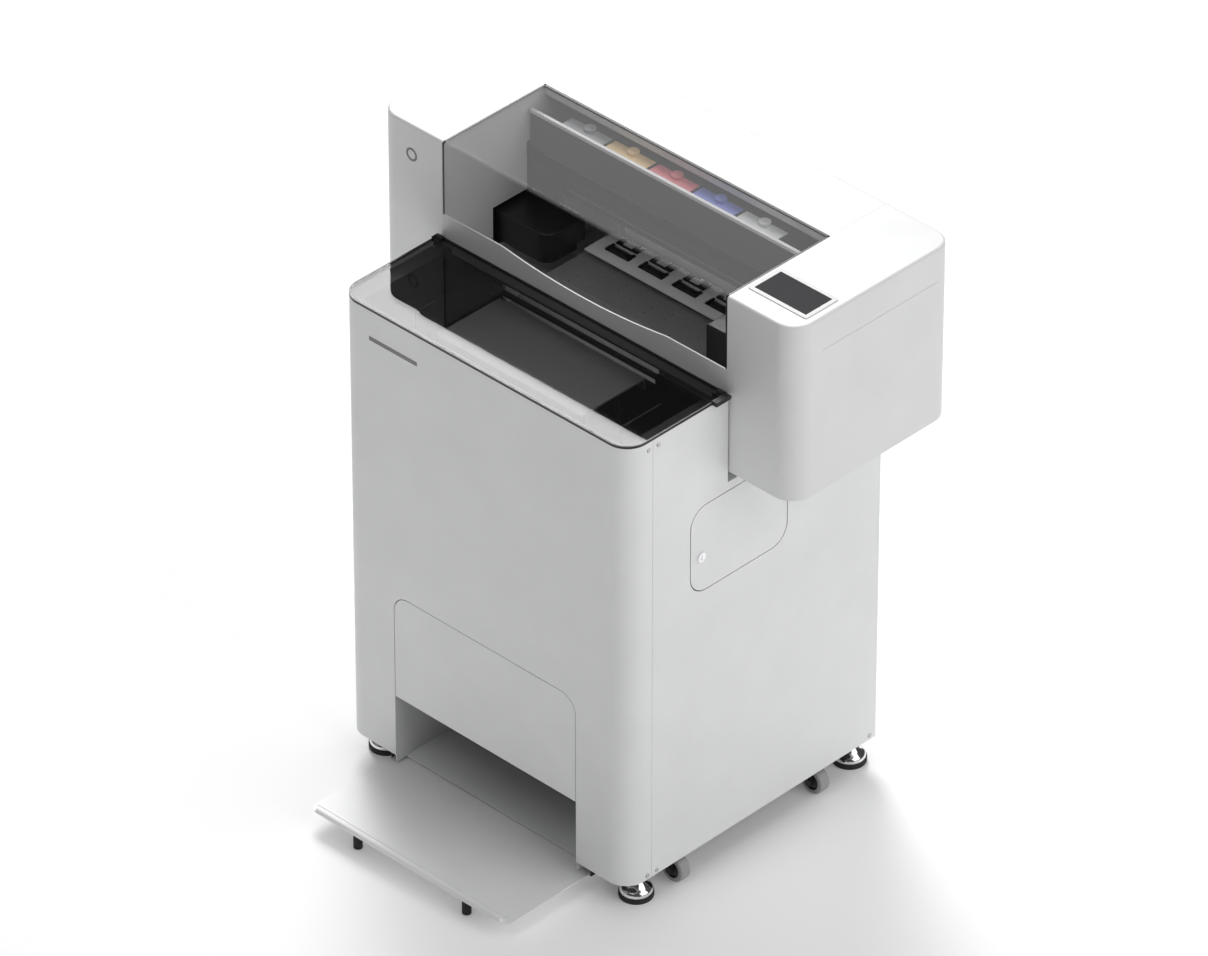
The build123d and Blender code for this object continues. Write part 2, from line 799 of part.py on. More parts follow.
# ---- Oven with its belt ---------------------------------------------------------------------
oven_low_z = pan_top_z
heater_pitch = (belt_rear_axis - belt_front_axis) / heater_count
with BuildPart() as oven_box:
    block((-oven_half_width, oven_half_width), (oven_front, oven_back), (oven_low_z, oven_top_z))
    block(
        (-oven_half_width + sheet, oven_half_width - sheet),
        (oven_front - 1, oven_back - sheet),
        (oven_low_z + sheet, oven_top_z - sheet),
        Mode.SUBTRACT,
    )
    block(
        (-film_slot_half, film_slot_half),
        (oven_front + 20, oven_front + 45),
        (oven_top_z - 3, oven_top_z + 1),
        Mode.SUBTRACT,
    )
    for depth in (belt_front_axis, belt_rear_axis):
        rod_x(
            (-oven_half_width - 1, oven_half_width + 1),
            depth,
            belt_axis_z,
            roller_shaft_radius + bore_gap,
            Mode.SUBTRACT,
        )
    for index in range(heater_count):
        heater_depth = belt_front_axis + heater_pitch * (index + 0.5)
        rod_x(
            (-oven_half_width + sheet, oven_half_width - sheet),
            heater_depth,
            oven_top_z - 60,
            heater_radius,
        )
save(oven_box, "oven_box")

for depth, roller_name in ((belt_front_axis, "front"), (belt_rear_axis, "rear")):
    with BuildPart() as belt_roller:
        rod_x((-belt_half_width - 4, belt_half_width + 4), depth, belt_axis_z, belt_roller_radius)
        rod_x((-oven_half_width - 4, oven_half_width + 4), depth, belt_axis_z, roller_shaft_radius)
    save(belt_roller, f"belt_roller_{roller_name}")


def belt_loop(start, end, height, radius, thickness):
    """Return the outline of a belt round two equal rollers, in the plane of the current sketch."""
    length = end - start + 2 * radius
    with BuildSketch() as loop:
        with Locations(((start + end) / 2, height)):
            SlotOverall(length + 2 * thickness, 2 * (radius + thickness))
            SlotOverall(length, 2 * radius, mode=Mode.SUBTRACT)
    return loop.sketch


with BuildPart() as oven_belt:
    with BuildSketch(Plane.YZ.offset(-belt_half_width)):
        add(
            belt_loop(
                front_y + belt_front_axis,
                front_y + belt_rear_axis,
                belt_axis_z,
                belt_roller_radius + running_gap,
                belt_thickness,
            )
        )
    extrude(amount=2 * belt_half_width)
save(oven_belt, "oven_belt")


# ---- Rear services --------------------------------------------------------------------------
fan_front = cabinet_depth - sheet - fan_box_depth
with BuildPart() as exhaust_duct:
    block(
        (fan_x - fan_box / 2, fan_x + fan_box / 2),
        (fan_front, cabinet_depth - sheet),
        (fan_z - fan_box / 2, fan_z + fan_box / 2),
    )
    rod_y(fan_x, (cabinet_depth - sheet, cabinet_depth + spigot_neck), fan_z, spigot_radius - 0.6)
    rod_y(fan_x, (cabinet_depth + spigot_neck, cabinet_depth + spigot_length), fan_z, spigot_radius)
    rod_y(
        fan_x,
        (fan_front - 1, cabinet_depth + spigot_length + 1),
        fan_z,
        spigot_radius - spigot_wall,
        Mode.SUBTRACT,
    )
    for turn in (0, 90):
        with BuildSketch(Plane.XZ.offset(-(front_y + fan_front + 34))) as spider:
            with Locations((fan_x, fan_z)):
                Rectangle(2 * spigot_radius - 2, 5, rotation=turn + 45)
        extrude(spider.sketch, amount=-4)
    rod_y(fan_x, (fan_front + 34, fan_front + 42), fan_z, 16)
    rod_y(fan_x, (fan_front + 12, fan_front + 35), fan_z, 4)
save(exhaust_duct, "exhaust_duct")

with BuildPart() as exhaust_fan:
    rod_y(fan_x, (fan_front + 8, fan_front + 32), fan_z, 15)
    for index in range(7):
        turn = 360 * index / 7
        blade = Plane(
            origin=(fan_x, front_y + fan_front + 20, fan_z),
            x_dir=(0, 1, 0),
            z_dir=(cos(radians(turn)), 0, sin(radians(turn))),
        )
        with BuildSketch(blade.offset(13)) as root:
            Rectangle(26, 2.5, rotation=38)
        extrude(root.sketch, amount=30)
    rod_y(fan_x, (fan_front, fan_front + 8), fan_z, 46, Mode.SUBTRACT)
    rod_y(fan_x, (fan_front + 32, fan_front + 40), fan_z, 46, Mode.SUBTRACT)
    rod_y(fan_x, (fan_front + 11, fan_front + 40), fan_z, 4 + bore_gap, Mode.SUBTRACT)
save(exhaust_fan, "exhaust_fan")

with BuildPart() as power_inlet:
    block(
        (inlet_x - 37.5, inlet_x + 37.5),
        (cabinet_depth - 30, cabinet_depth),
        (inlet_z - 15.5, inlet_z + 15.5),
    )
    block((inlet_x - 41, inlet_x + 41), (cabinet_depth, cabinet_depth + 3), (inlet_z - 20, inlet_z + 20))
    block(
        (inlet_x - 34, inlet_x - 8),
        (cabinet_depth - 16, cabinet_depth + 4),
        (inlet_z - 11, inlet_z + 11),
        Mode.SUBTRACT,
    )
    block(
        (inlet_x + 6, inlet_x + 34),
        (cabinet_depth - 16, cabinet_depth + 4),
        (inlet_z - 12, inlet_z + 12),
        Mode.SUBTRACT,
    )
    for pin_dx in (-7, 0, 7):
        block(
            (inlet_x + 20 + pin_dx - 1, inlet_x + 20 + pin_dx + 1),
            (cabinet_depth - 17, cabinet_depth - 3),
            (inlet_z - 3, inlet_z + 3),
        )
save(power_inlet, "power_inlet")

rocker_x = inlet_x - 21
with BuildPart() as rocker_switch:
    with BuildSketch(Plane.YZ.offset(rocker_x - 11.5)) as rocker_side:
        with BuildLine():
            Polyline(
                (front_y + cabinet_depth - 8, inlet_z - 8),
                (front_y + cabinet_depth - 8, inlet_z + 8),
                (front_y + cabinet_depth + 1, inlet_z + 8.5),
                (front_y + cabinet_depth + 1, inlet_z),
                (front_y + cabinet_depth + 4, inlet_z - 8.5),
                close=True,
            )
        make_face()
    extrude(rocker_side.sketch, amount=23)
save(rocker_switch, "rocker_switch")

# ---- Printer covers -------------------------------------------------------------------------
floor_sheet = 4.0
floor_top_z = printer_floor_z + floor_sheet


def tower_slab(side, inset, z_span, mode=Mode.ADD):
    """Add or cut an upright slab of one tower, its two outer corners rounded."""
    near = side * (bay_half + inset)
    far = side * (printer_half - inset)
    with BuildSketch(Plane.XY.offset(z_span[0])) as outline:
        with Locations(((near + far) / 2, front_y + printer_front + printer_depth / 2)):
            Rectangle(abs(far - near), printer_depth - 2 * inset)
        by_x = outline.vertices().group_by(Axis.X)
        fillet(by_x[-1] if side > 0 else by_x[0], printer_corner - inset)
    extrude(outline.sketch, amount=z_span[1] - z_span[0], mode=mode)


for side, side_name in ((-1, "left"), (1, "right")):
    inner_face = side * bay_half
    with BuildPart() as tower:
        tower_slab(side, 0, (printer_floor_z, printer_top_z))
        rim = tower.faces().sort_by(Axis.Z)[-1].edges()
        fillet(rim.filter_by(lambda edge: abs(edge.center().X - inner_face) > 1), top_edge_radius)
        tower_slab(side, shell, (printer_floor_z - 1, printer_top_z - shell), Mode.SUBTRACT)
        wall = sorted((side * (bay_half - 1), side * (bay_half + shell + 1)))
        block(
            wall,
            (printer_front + shell, printer_back - shell),
            (printer_floor_z - 1, floor_top_z),
            Mode.SUBTRACT,
        )
        block(
            wall,
            (carriage_near - 11, beam_back + 6),
            (carriage_z - 12, carriage_top_z + 11),
            Mode.SUBTRACT,
        )
        block(
            wall,
            (beam_face - carriage_plate_sheet - 15, beam_back + 6),
            (carriage_z, plate_top_z + 42),
            Mode.SUBTRACT,
        )
        groove = sorted((side * (printer_half - 0.8), side * (printer_half + 1)))
        groove_z = printer_top_z - 64
        block(
            groove,
            (printer_front + printer_corner + 24, printer_back - printer_corner),
            (groove_z - 0.6, groove_z + 0.6),
            Mode.SUBTRACT,
        )
    save(tower, f"{side_name}_tower")

rear_cover_half = bay_half - running_gap
with BuildPart() as rear_cover:
    block(
        (-rear_cover_half, rear_cover_half), (lid_back, printer_back), (printer_floor_z, printer_top_z)
    )
    fillet(
        rear_cover.edges().filter_by(Axis.X).group_by(Axis.Z)[-1].sort_by(Axis.Y)[-1], top_edge_radius
    )
    block(
        (-bay_half, bay_half),
        (lid_back + shell, printer_back - shell),
        (printer_floor_z - 1, printer_top_z - shell),
        Mode.SUBTRACT,
    )
    block(
        (-bay_half, bay_half),
        (lid_back - 1, lid_back + shell + 1),
        (printer_floor_z - 1, printer_top_z - 20),
        Mode.SUBTRACT,
    )
    with BuildSketch(Plane.XZ.offset(-(front_y + printer_back - 10))) as vents:
        with Locations((0, printer_floor_z + 70)):
            with GridLocations(16, 40, 14, 2):
                SlotOverall(30, 5, rotation=90)
    extrude(vents.sketch, amount=-20, mode=Mode.SUBTRACT)
save(rear_cover, "rear_cover")

scoop_radius = scoop_width**2 / (8 * scoop_depth) + scoop_depth / 2
with BuildPart() as front_lower_panel:
    panel_back = printer_front + shell
    block(
        (-rear_cover_half, rear_cover_half), (printer_front, panel_back), (printer_floor_z, lid_front_z)
    )
    rod_y(
        0,
        (printer_front - 1, panel_back + 1),
        lid_front_z - scoop_depth + scoop_radius,
        scoop_radius,
        Mode.SUBTRACT,
    )
    block(
        (-film_slot_half, film_slot_half),
        (printer_front - 1, panel_back + 1),
        (film_slot_low, film_slot_high),
        Mode.SUBTRACT,
    )
save(front_lower_panel, "front_lower_panel")

lid_half = bay_half - lid_gap
lid_rear = lid_back - lid_gap
with BuildPart() as smoked_lid:
    with BuildSketch(Plane.YZ.offset(-lid_half)) as lid_profile:
        with BuildLine():
            FilletPolyline(
                (front_y + printer_front, lid_front_z + lid_gap),
                (front_y + printer_front, printer_top_z),
                (front_y + lid_rear, printer_top_z),
                radius=lid_crease,
            )
            Polyline(
                (front_y + lid_rear, printer_top_z),
                (front_y + lid_rear, printer_top_z - lid_sheet),
                (front_y + printer_front + lid_crease, printer_top_z - lid_sheet),
            )
            RadiusArc(
                (front_y + printer_front + lid_crease, printer_top_z - lid_sheet),
                (front_y + printer_front + lid_sheet, printer_top_z - lid_crease),
                -(lid_crease - lid_sheet),
            )
            Polyline(
                (front_y + printer_front + lid_sheet, printer_top_z - lid_crease),
                (front_y + printer_front + lid_sheet, lid_front_z + lid_gap),
                (front_y + printer_front, lid_front_z + lid_gap),
            )
        make_face()
    extrude(lid_profile.sketch, amount=2 * lid_half)
save(smoked_lid, "smoked_lid")


roll_axis = printer_front + roll_depth
roll_z = printer_floor_z + roll_rise
bracket_x = bed_half_width + 40
with BuildPart() as printer_base:
    rounded_slab(
        (-printer_half + shell, printer_half - shell),
        (printer_front + shell, printer_back - shell),
        (printer_floor_z, floor_top_z),
        printer_corner - shell,
        printer_corner - shell,
    )
    for side in (-1, 1):
        across = sorted((side * bracket_x, side * (bracket_x + 4)))
        block(across, (roll_axis - 14, roll_axis + 14), (floor_top_z, roll_z + 16))
        rod_x(across, roll_axis, roll_z, spindle_radius + bore_gap, Mode.SUBTRACT)
save(printer_base, "printer_base")

with BuildPart() as printer_feet:
    for x in (-printer_foot_x, printer_foot_x):
        for depth in (printer_front + 35, printer_back - 55):
            rod_z(x, depth, (deck_z, printer_floor_z), printer_foot_radius)
    chamfer(printer_feet.edges().group_by(Axis.Z)[0], 2)
save(printer_feet, "printer_feet")

screen_right = printer_half - screen_inset_x
screen_left = screen_right - screen_length
screen_back = screen_front + screen_width
with BuildPart() as screen_bezel:
    with BuildSketch(Plane.XY.offset(printer_top_z)) as bezel_outline:
        with Locations(
            (
                (screen_left + screen_right) / 2,
                front_y + printer_front + (screen_front + screen_back) / 2,
            )
        ):
            RectangleRounded(screen_length + 2 * screen_border, screen_width + 2 * screen_border, 5)
            Rectangle(screen_length, screen_width, mode=Mode.SUBTRACT)
    extrude(bezel_outline.sketch, amount=bezel_height)
    chamfer(screen_bezel.faces().sort_by(Axis.Z)[-1].outer_wire().edges(), 0.6)
save(screen_bezel, "screen_bezel")

with BuildPart() as touch_screen:
    block(
        (screen_left, screen_right),
        (printer_front + screen_front, printer_front + screen_back),
        (printer_top_z, printer_top_z + screen_glass_thickness),
    )
save(touch_screen, "touch_screen")

# ---- Film path in the printer ---------------------------------------------------------------
feed_z = platen_z - feed_radius
pinch_z = platen_z + film_gap + pinch_radius
feed_axis = printer_front + feed_depth
platen_near = printer_front + platen_front
platen_far = platen_near + platen_length
platen_low_z = platen_z - platen_sheet
with BuildPart() as platen:
    block((platen_left, platen_right), (platen_near, platen_far), (platen_low_z, platen_z))
    block(
        (platen_left + 4, platen_right - 4),
        (platen_near + 4, platen_far - 6),
        (platen_low_z - 36, platen_low_z),
    )
    block(
        (platen_left + 6, platen_right - 6),
        (platen_near + 6, platen_far - 8),
        (platen_low_z - 34, platen_low_z),
        Mode.SUBTRACT,
    )
    with BuildSketch(Plane.YZ.offset(-feed_half_length)) as guide_profile:
        with BuildLine():
            Polyline(
                (front_y + printer_front + shell + 2, platen_z - 6),
                (front_y + platen_near, platen_z),
                (front_y + platen_near, platen_low_z),
                (front_y + printer_front + shell + 2, platen_z - 6 - platen_sheet),
                close=True,
            )
        make_face()
    extrude(guide_profile.sketch, amount=2 * feed_half_length)
    hole_columns = 10
    hole_rows = 7
    first_x = platen_right - 14 - (hole_columns - 1) * hole_pitch_x
    for column in range(hole_columns):
        stagger = hole_pitch_y / 2 * (column % 2)
        row_middle = front_y + platen_near + platen_length / 2 + stagger - 5
        with Locations((first_x + column * hole_pitch_x, row_middle, platen_z)):
            with GridLocations(hole_pitch_x, hole_pitch_y, 1, hole_rows):
                Hole(hole_radius, depth=platen_sheet)
save(platen, "platen")

strip_low_z = pinch_z + pinch_shaft_radius + 1
press_half = feed_half_length + 8
strip_front = feed_axis - strip_lead
strip_back = feed_axis + strip_tail
first_window = press_middle + 5 - (pinch_count - 1) / 2 * pinch_pitch
window_places = [first_window + index * pinch_pitch for index in range(pinch_count)]
with BuildPart() as pinch_frame:
    block(
        (press_middle - press_half, press_middle + press_half),
        (strip_front, strip_back),
        (strip_low_z, strip_low_z + pinch_strip_sheet),
    )
    for x in window_places:
        block(
            (x - pinch_length / 2 - 8, x + pinch_length / 2 + 8),
            (feed_axis - pinch_window / 2, feed_axis + pinch_window / 2),
            (strip_low_z - 1, strip_low_z + pinch_strip_sheet + 1),
            Mode.SUBTRACT,
        )
    for side in (-1, 1):
        leg = sorted((press_middle + side * (press_half - 4), press_middle + side * press_half))
        block(leg, (feed_axis - 8, strip_back), (floor_top_z, strip_low_z))
    press_span = (press_middle - press_half - 1, press_middle + press_half + 1)
    rod_x(press_span, feed_axis, feed_z, roller_shaft_radius + bore_gap, Mode.SUBTRACT)
    rod_x(press_span, feed_axis, pinch_z, pinch_shaft_radius + bore_gap, Mode.SUBTRACT)
save(pinch_frame, "pinch_frame")

with BuildPart() as feed_roller:
    rod_x(
        (press_middle - feed_half_length, press_middle + feed_half_length),
        feed_axis,
        feed_z,
        feed_radius,
    )
    rod_x(
        (press_middle - press_half - 4, press_middle + press_half + 4),
        feed_axis,
        feed_z,
        roller_shaft_radius,
    )
save(feed_roller, "feed_roller")

with BuildPart() as pinch_rollers:
    rod_x(
        (press_middle - press_half - 3, press_middle + press_half + 3),
        feed_axis,
        pinch_z,
        pinch_shaft_radius,
    )
    for x in window_places:
        rod_x((x - pinch_length / 2, x + pinch_length / 2), feed_axis, pinch_z, pinch_radius)
save(pinch_rollers, "pinch_rollers")

with BuildPart() as film_roll:
    rod_x((-bed_half_width, bed_half_width), roll_axis, roll_z, roll_radius)
    rod_x((-bracket_x - 9, bracket_x + 9), roll_axis, roll_z, spindle_radius)
save(film_roll, "film_roll")


# ---- Carriage, beam and belt ----------------------------------------------------------------
rail_front = beam_face - rail_depth
rail_z = beam_z + rail_rise
carriage_right = carriage_left + carriage_width
pulley_outer = pulley_radius + carriage_belt_thickness + running_gap
belt_z = plate_top_z + belt_over_carriage + pulley_outer
pulley_front = beam_face - 10
pulley_back = pulley_front + pulley_width
shaft_radius = 3.0

with BuildPart() as carriage_beam:
    block((-beam_half_length, beam_half_length), (beam_face, beam_back), (beam_z, beam_z + beam_height))
    block(
        (-beam_half_length - 1, beam_half_length + 1),
        (beam_face + beam_sheet, beam_back - beam_sheet),
        (beam_z + beam_sheet, beam_z + beam_height - beam_sheet),
        Mode.SUBTRACT,
    )
    for side in (-1, 1):
        plate = sorted((side * (beam_half_length - 3), side * beam_half_length))
        block(plate, (beam_face, beam_back), (floor_top_z, beam_z + beam_height))
        rod_y(
            side * pulley_x,
            (beam_face - 1, beam_back + 1),
            belt_z,
            shaft_radius + bore_gap,
            Mode.SUBTRACT,
        )
    block(
        (-beam_half_length + 30, beam_half_length - 30),
        (rail_front, beam_face),
        (rail_z, rail_z + rail_height),
    )
save(carriage_beam, "carriage_beam")


pad_face = rail_front - running_gap
pad_back = beam_face - running_gap
with BuildPart() as carriage:
    rounded_slab(
        (carriage_left, carriage_right),
        (carriage_near, pad_face),
        (carriage_z, carriage_top_z),
        carriage_corner,
        4,
    )
    fillet(carriage.faces().sort_by(Axis.Z)[-1].edges(), 2.5)
    block(
        (carriage_left - 1, carriage_right + 1),
        (strip_front - 3, pad_face + 1),
        (carriage_z - 1, strip_low_z + pinch_strip_sheet + 6),
        Mode.SUBTRACT,
    )
    middle = (carriage_left + carriage_right) / 2
    pad_span = (middle - 40, middle + 40)
    block(pad_span, (pad_face - carriage_plate_sheet, pad_face), (carriage_top_z - 8, plate_top_z))
    block(pad_span, (pad_face - 1, pad_back), (rail_z + rail_height + running_gap, plate_top_z))
    block(pad_span, (pad_face - 1, pad_back), (rail_z - 10, rail_z - running_gap))
    block((middle - 16, middle + 16), (pad_face - 8, pad_face - 2), (plate_top_z, plate_top_z + 4))
    block((middle - 45, middle + 45), (carriage_near + 12, strip_front - 10), (carriage_z - 4, carriage_z))
save(carriage, "carriage")


with BuildPart() as carriage_belt:
    with BuildSketch(Plane.XZ.offset(-(front_y + pulley_front + 1))) as belt_sketch:
        add(belt_loop(-pulley_x, pulley_x, belt_z, pulley_radius + running_gap, carriage_belt_thickness))
    extrude(belt_sketch.sketch, amount=-(pulley_width - 2))
save(carriage_belt, "carriage_belt")

for x, pulley_name in ((pulley_x, "drive_pulley"), (-pulley_x, "idler_pulley")):
    with BuildPart() as pulley:
        rod_y(x, (pulley_front, pulley_back), belt_z, pulley_radius)
        rod_y(x, (pulley_front - 2, beam_back - running_gap), belt_z, shaft_radius)
    save(pulley, pulley_name)

motor_half = 21.0
with BuildPart() as carriage_motor:
    block(
        (pulley_x - motor_half, pulley_x + motor_half),
        (beam_back, beam_back + 38),
        (belt_z - motor_half, belt_z + motor_half),
    )
    chamfer(carriage_motor.edges().filter_by(Axis.Y), 4)
save(carriage_motor, "carriage_motor")

# ---- Ink tanks and maintenance station ------------------------------------------------------
tank_middle = -7.5
tank_near = printer_front + tank_front
tank_z = printer_floor_z + tank_rise
tank_row = (tank_count - 1) * tank_pitch + tank_width
tray_left = tank_middle - tank_row / 2 - 6
tray_right = tank_middle + tank_row / 2 + 6
with BuildPart() as ink_tanks:
    for index in range(tank_count):
        x = tank_middle + (index - (tank_count - 1) / 2) * tank_pitch
        block(
            (x - tank_width / 2, x + tank_width / 2),
            (tank_near, tank_near + tank_depth),
            (tank_z, tank_z + tank_height - 6),
        )
        rod_z(x, tank_near + 20, (tank_z + tank_height - 7, tank_z + tank_height), 11)
    fillet(ink_tanks.edges().filter_by(Axis.Z).filter_by(GeomType.LINE), 4)
save(ink_tanks, "ink_tanks")

with BuildPart() as tank_tray:
    block(
        (tray_left, tray_right),
        (tank_near - 6, tank_near + tank_depth + 4),
        (tank_z - tank_tray_sheet, tank_z),
    )
    block(
        (-bay_half + 5, bay_half - 20),
        (tank_near - 6, tank_near - 6 + tank_tray_sheet),
        (tank_z, tank_z + tank_height - 4),
    )
    for x in (tray_left + 30, tray_right - 30):
        block(
            (x - 15, x + 15),
            (beam_face + 12, beam_back - 12),
            (beam_z + beam_height, tank_z - tank_tray_sheet),
        )
save(tank_tray, "tank_tray")

station_left = press_middle + press_half + 6
station_right = min(station_left + station_width, bay_half - 2)
station_near = printer_front + station_front
station_step = carriage_near - station_clearance
with BuildPart() as maintenance_station:
    block(
        (station_left, station_right),
        (station_near, station_near + station_length),
        (floor_top_z, carriage_z - 8),
    )
    block(
        (station_left, station_right),
        (station_near, station_step),
        (carriage_z - 8, printer_floor_z + station_rise),
    )
    fillet(maintenance_station.faces().sort_by(Axis.Z)[-1].edges(), 3)
    block(
        (station_left + 20, station_right - 20),
        (station_step + 20, station_near + station_length - 20),
        (carriage_z - 8, carriage_z - 6),
    )
save(maintenance_station, "maintenance_station")
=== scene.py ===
import bmesh
import bpy
import math
from mathutils import Matrix, Vector


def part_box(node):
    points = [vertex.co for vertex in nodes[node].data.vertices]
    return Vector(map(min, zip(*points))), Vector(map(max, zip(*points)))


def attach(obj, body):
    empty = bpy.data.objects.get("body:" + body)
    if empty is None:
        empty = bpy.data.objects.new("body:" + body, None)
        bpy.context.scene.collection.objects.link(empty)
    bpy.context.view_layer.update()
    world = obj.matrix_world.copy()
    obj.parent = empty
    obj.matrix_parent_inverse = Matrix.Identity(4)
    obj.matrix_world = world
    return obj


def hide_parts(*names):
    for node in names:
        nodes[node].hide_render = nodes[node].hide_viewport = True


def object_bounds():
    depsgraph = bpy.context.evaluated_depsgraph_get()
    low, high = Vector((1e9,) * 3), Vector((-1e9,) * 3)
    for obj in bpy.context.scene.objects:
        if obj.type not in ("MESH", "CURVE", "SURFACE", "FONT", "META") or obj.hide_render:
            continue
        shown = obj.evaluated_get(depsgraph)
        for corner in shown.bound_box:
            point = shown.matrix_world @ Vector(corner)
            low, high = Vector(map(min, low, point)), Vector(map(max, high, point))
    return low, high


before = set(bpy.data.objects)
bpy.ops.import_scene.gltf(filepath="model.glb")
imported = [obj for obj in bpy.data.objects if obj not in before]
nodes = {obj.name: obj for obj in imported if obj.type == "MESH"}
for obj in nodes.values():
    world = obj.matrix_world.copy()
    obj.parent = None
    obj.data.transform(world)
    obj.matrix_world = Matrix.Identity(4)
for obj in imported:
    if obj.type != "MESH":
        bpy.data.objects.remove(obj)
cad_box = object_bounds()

# Every length is in metres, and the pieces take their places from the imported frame.
BODY = "machine"


def corners(node):
    """The lowest and highest corner of a frame node as vectors."""
    start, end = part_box(node)
    return Vector(start), Vector(end)


# ---- Materials -----------------------------------------------------------------------------


def base_material(name, color, roughness, metallic=0.0, specular=0.5):
    """A node material with its uniform values on the shader's own sockets."""
    material = bpy.data.materials.new(name)
    material.use_nodes = True
    shader = material.node_tree.nodes["Principled BSDF"]
    shader.inputs["Base Color"].default_value = (*color, 1.0)
    shader.inputs["Roughness"].default_value = roughness
    shader.inputs["Metallic"].default_value = metallic
    shader.inputs["Specular IOR Level"].default_value = specular
    return material, shader


def noise(tree, scale, detail=4.0, stretch=(1.0, 1.0, 1.0)):
    """A noise texture in object space, stretched along one axis where asked."""
    place = tree.nodes.new("ShaderNodeTexCoord")
    mapping = tree.nodes.new("ShaderNodeMapping")
    mapping.inputs["Scale"].default_value = stretch
    texture = tree.nodes.new("ShaderNodeTexNoise")
    texture.inputs["Scale"].default_value = scale
    texture.inputs["Detail"].default_value = detail
    tree.links.new(place.outputs["Object"], mapping.inputs["Vector"])
    tree.links.new(mapping.outputs["Vector"], texture.inputs["Vector"])
    return texture


def add_bump(tree, shader, texture, strength, distance):
    """Drive the shader's normal from a texture."""
    bump = tree.nodes.new("ShaderNodeBump")
    bump.inputs["Strength"].default_value = strength
    bump.inputs["Distance"].default_value = distance
    tree.links.new(texture.outputs["Fac"], bump.inputs["Height"])
    tree.links.new(bump.outputs["Normal"], shader.inputs["Normal"])


def add_tone(tree, shader, texture, dark, light):
    """Drive the colour between two close tones from a texture."""
    ramp = tree.nodes.new("ShaderNodeValToRGB")
    ramp.color_ramp.elements[0].position = 0.3
    ramp.color_ramp.elements[0].color = (*dark, 1.0)
    ramp.color_ramp.elements[1].position = 0.7
    ramp.color_ramp.elements[1].color = (*light, 1.0)
    tree.links.new(texture.outputs["Fac"], ramp.inputs["Fac"])
    tree.links.new(ramp.outputs["Color"], shader.inputs["Base Color"])


def add_gloss_range(tree, shader, texture, smooth, rough):
    """Drive the roughness between two values from a texture."""
    span = tree.nodes.new("ShaderNodeMapRange")
    span.inputs["To Min"].default_value = smooth
    span.inputs["To Max"].default_value = rough
    tree.links.new(texture.outputs["Fac"], span.inputs["Value"])
    tree.links.new(span.outputs["Result"], shader.inputs["Roughness"])


def scaled(color, factor):
    """A colour made darker or lighter."""
    return tuple(min(1.0, channel * factor) for channel in color)


coat_grain_depth = 0.0004
coat_cloud_scale = 9.0
coat_gloss_scale = 40.0
coat_gloss_spread = 0.12
brushed_scale = 12.0
brushed_depth = 0.0003
haze_scale = 6.0
crease_blend = 0.02


def coated(name, color, roughness, grain=900.0, bump=0.06, variation=0.02, **more):
    """Powder coat or moulded plastic: a fine orange-peel grain and faint tone changes."""
    material, shader = base_material(name, color, roughness, **more)
    tree = material.node_tree
    add_bump(tree, shader, noise(tree, grain, 2.0), bump, coat_grain_depth)
    cloud = noise(tree, coat_cloud_scale, 3.0)
    add_tone(tree, shader, cloud, scaled(color, 1 - variation), scaled(color, 1 + variation))
    smooth = roughness * (1 - coat_gloss_spread)
    rough = roughness * (1 + coat_gloss_spread)
    add_gloss_range(tree, shader, noise(tree, coat_gloss_scale, 3.0), smooth, rough)
    return material


def brushed(name, color, roughness, stretch=(1.0, 60.0, 60.0), bump=0.12):
    """Metal with a brushed grain along one axis."""
    material, shader = base_material(name, color, roughness, metallic=1.0)
    tree = material.node_tree
    grain = noise(tree, brushed_scale, 6.0, stretch)
    add_bump(tree, shader, grain, bump, brushed_depth)
    add_tone(tree, shader, grain, scaled(color, 0.86), scaled(color, 1.1))
    add_gloss_range(tree, shader, grain, roughness * 0.75, roughness * 1.3)
    return material


def see_through(name, color, alpha, ior, roughness=0.03):
    """Smoked sheet: a dark gloss skin that lets part of the view through."""
    material, shader = base_material(name, color, roughness)
    tree = material.node_tree
    shader.inputs["Alpha"].default_value = alpha
    shader.inputs["IOR"].default_value = ior
    haze = noise(tree, haze_scale, 2.0)
    add_gloss_range(tree, shader, haze, roughness * 0.8, roughness * 1.4)
    add_tone(tree, shader, haze, scaled(color, 0.9), scaled(color, 1.1))
    return material


def two_panes_painted_sheen(material, crease, front, top):
    """Give a bent sheet one grey and alpha below the crease and another pair above it, so the upper pane
    can carry a painted sheen.
    """
    tree = material.node_tree
    shader = tree.nodes["Principled BSDF"]
    place = tree.nodes.new("ShaderNodeTexCoord")
    parts = tree.nodes.new("ShaderNodeSeparateXYZ")
    tree.links.new(place.outputs["Generated"], parts.inputs["Vector"])
    for socket, below, above in zip(("Base Color", "Alpha"), front, top):
        ramp = tree.nodes.new("ShaderNodeValToRGB")
        ramp.color_ramp.elements[0].position = crease
        ramp.color_ramp.elements[0].color = (below, below, below, 1.0)
        ramp.color_ramp.elements[1].position = crease + crease_blend
        ramp.color_ramp.elements[1].color = (above, above, above, 1.0)
        tree.links.new(parts.outputs["Z"], ramp.inputs["Fac"])
        tree.links.new(ramp.outputs["Color"], shader.inputs[socket])


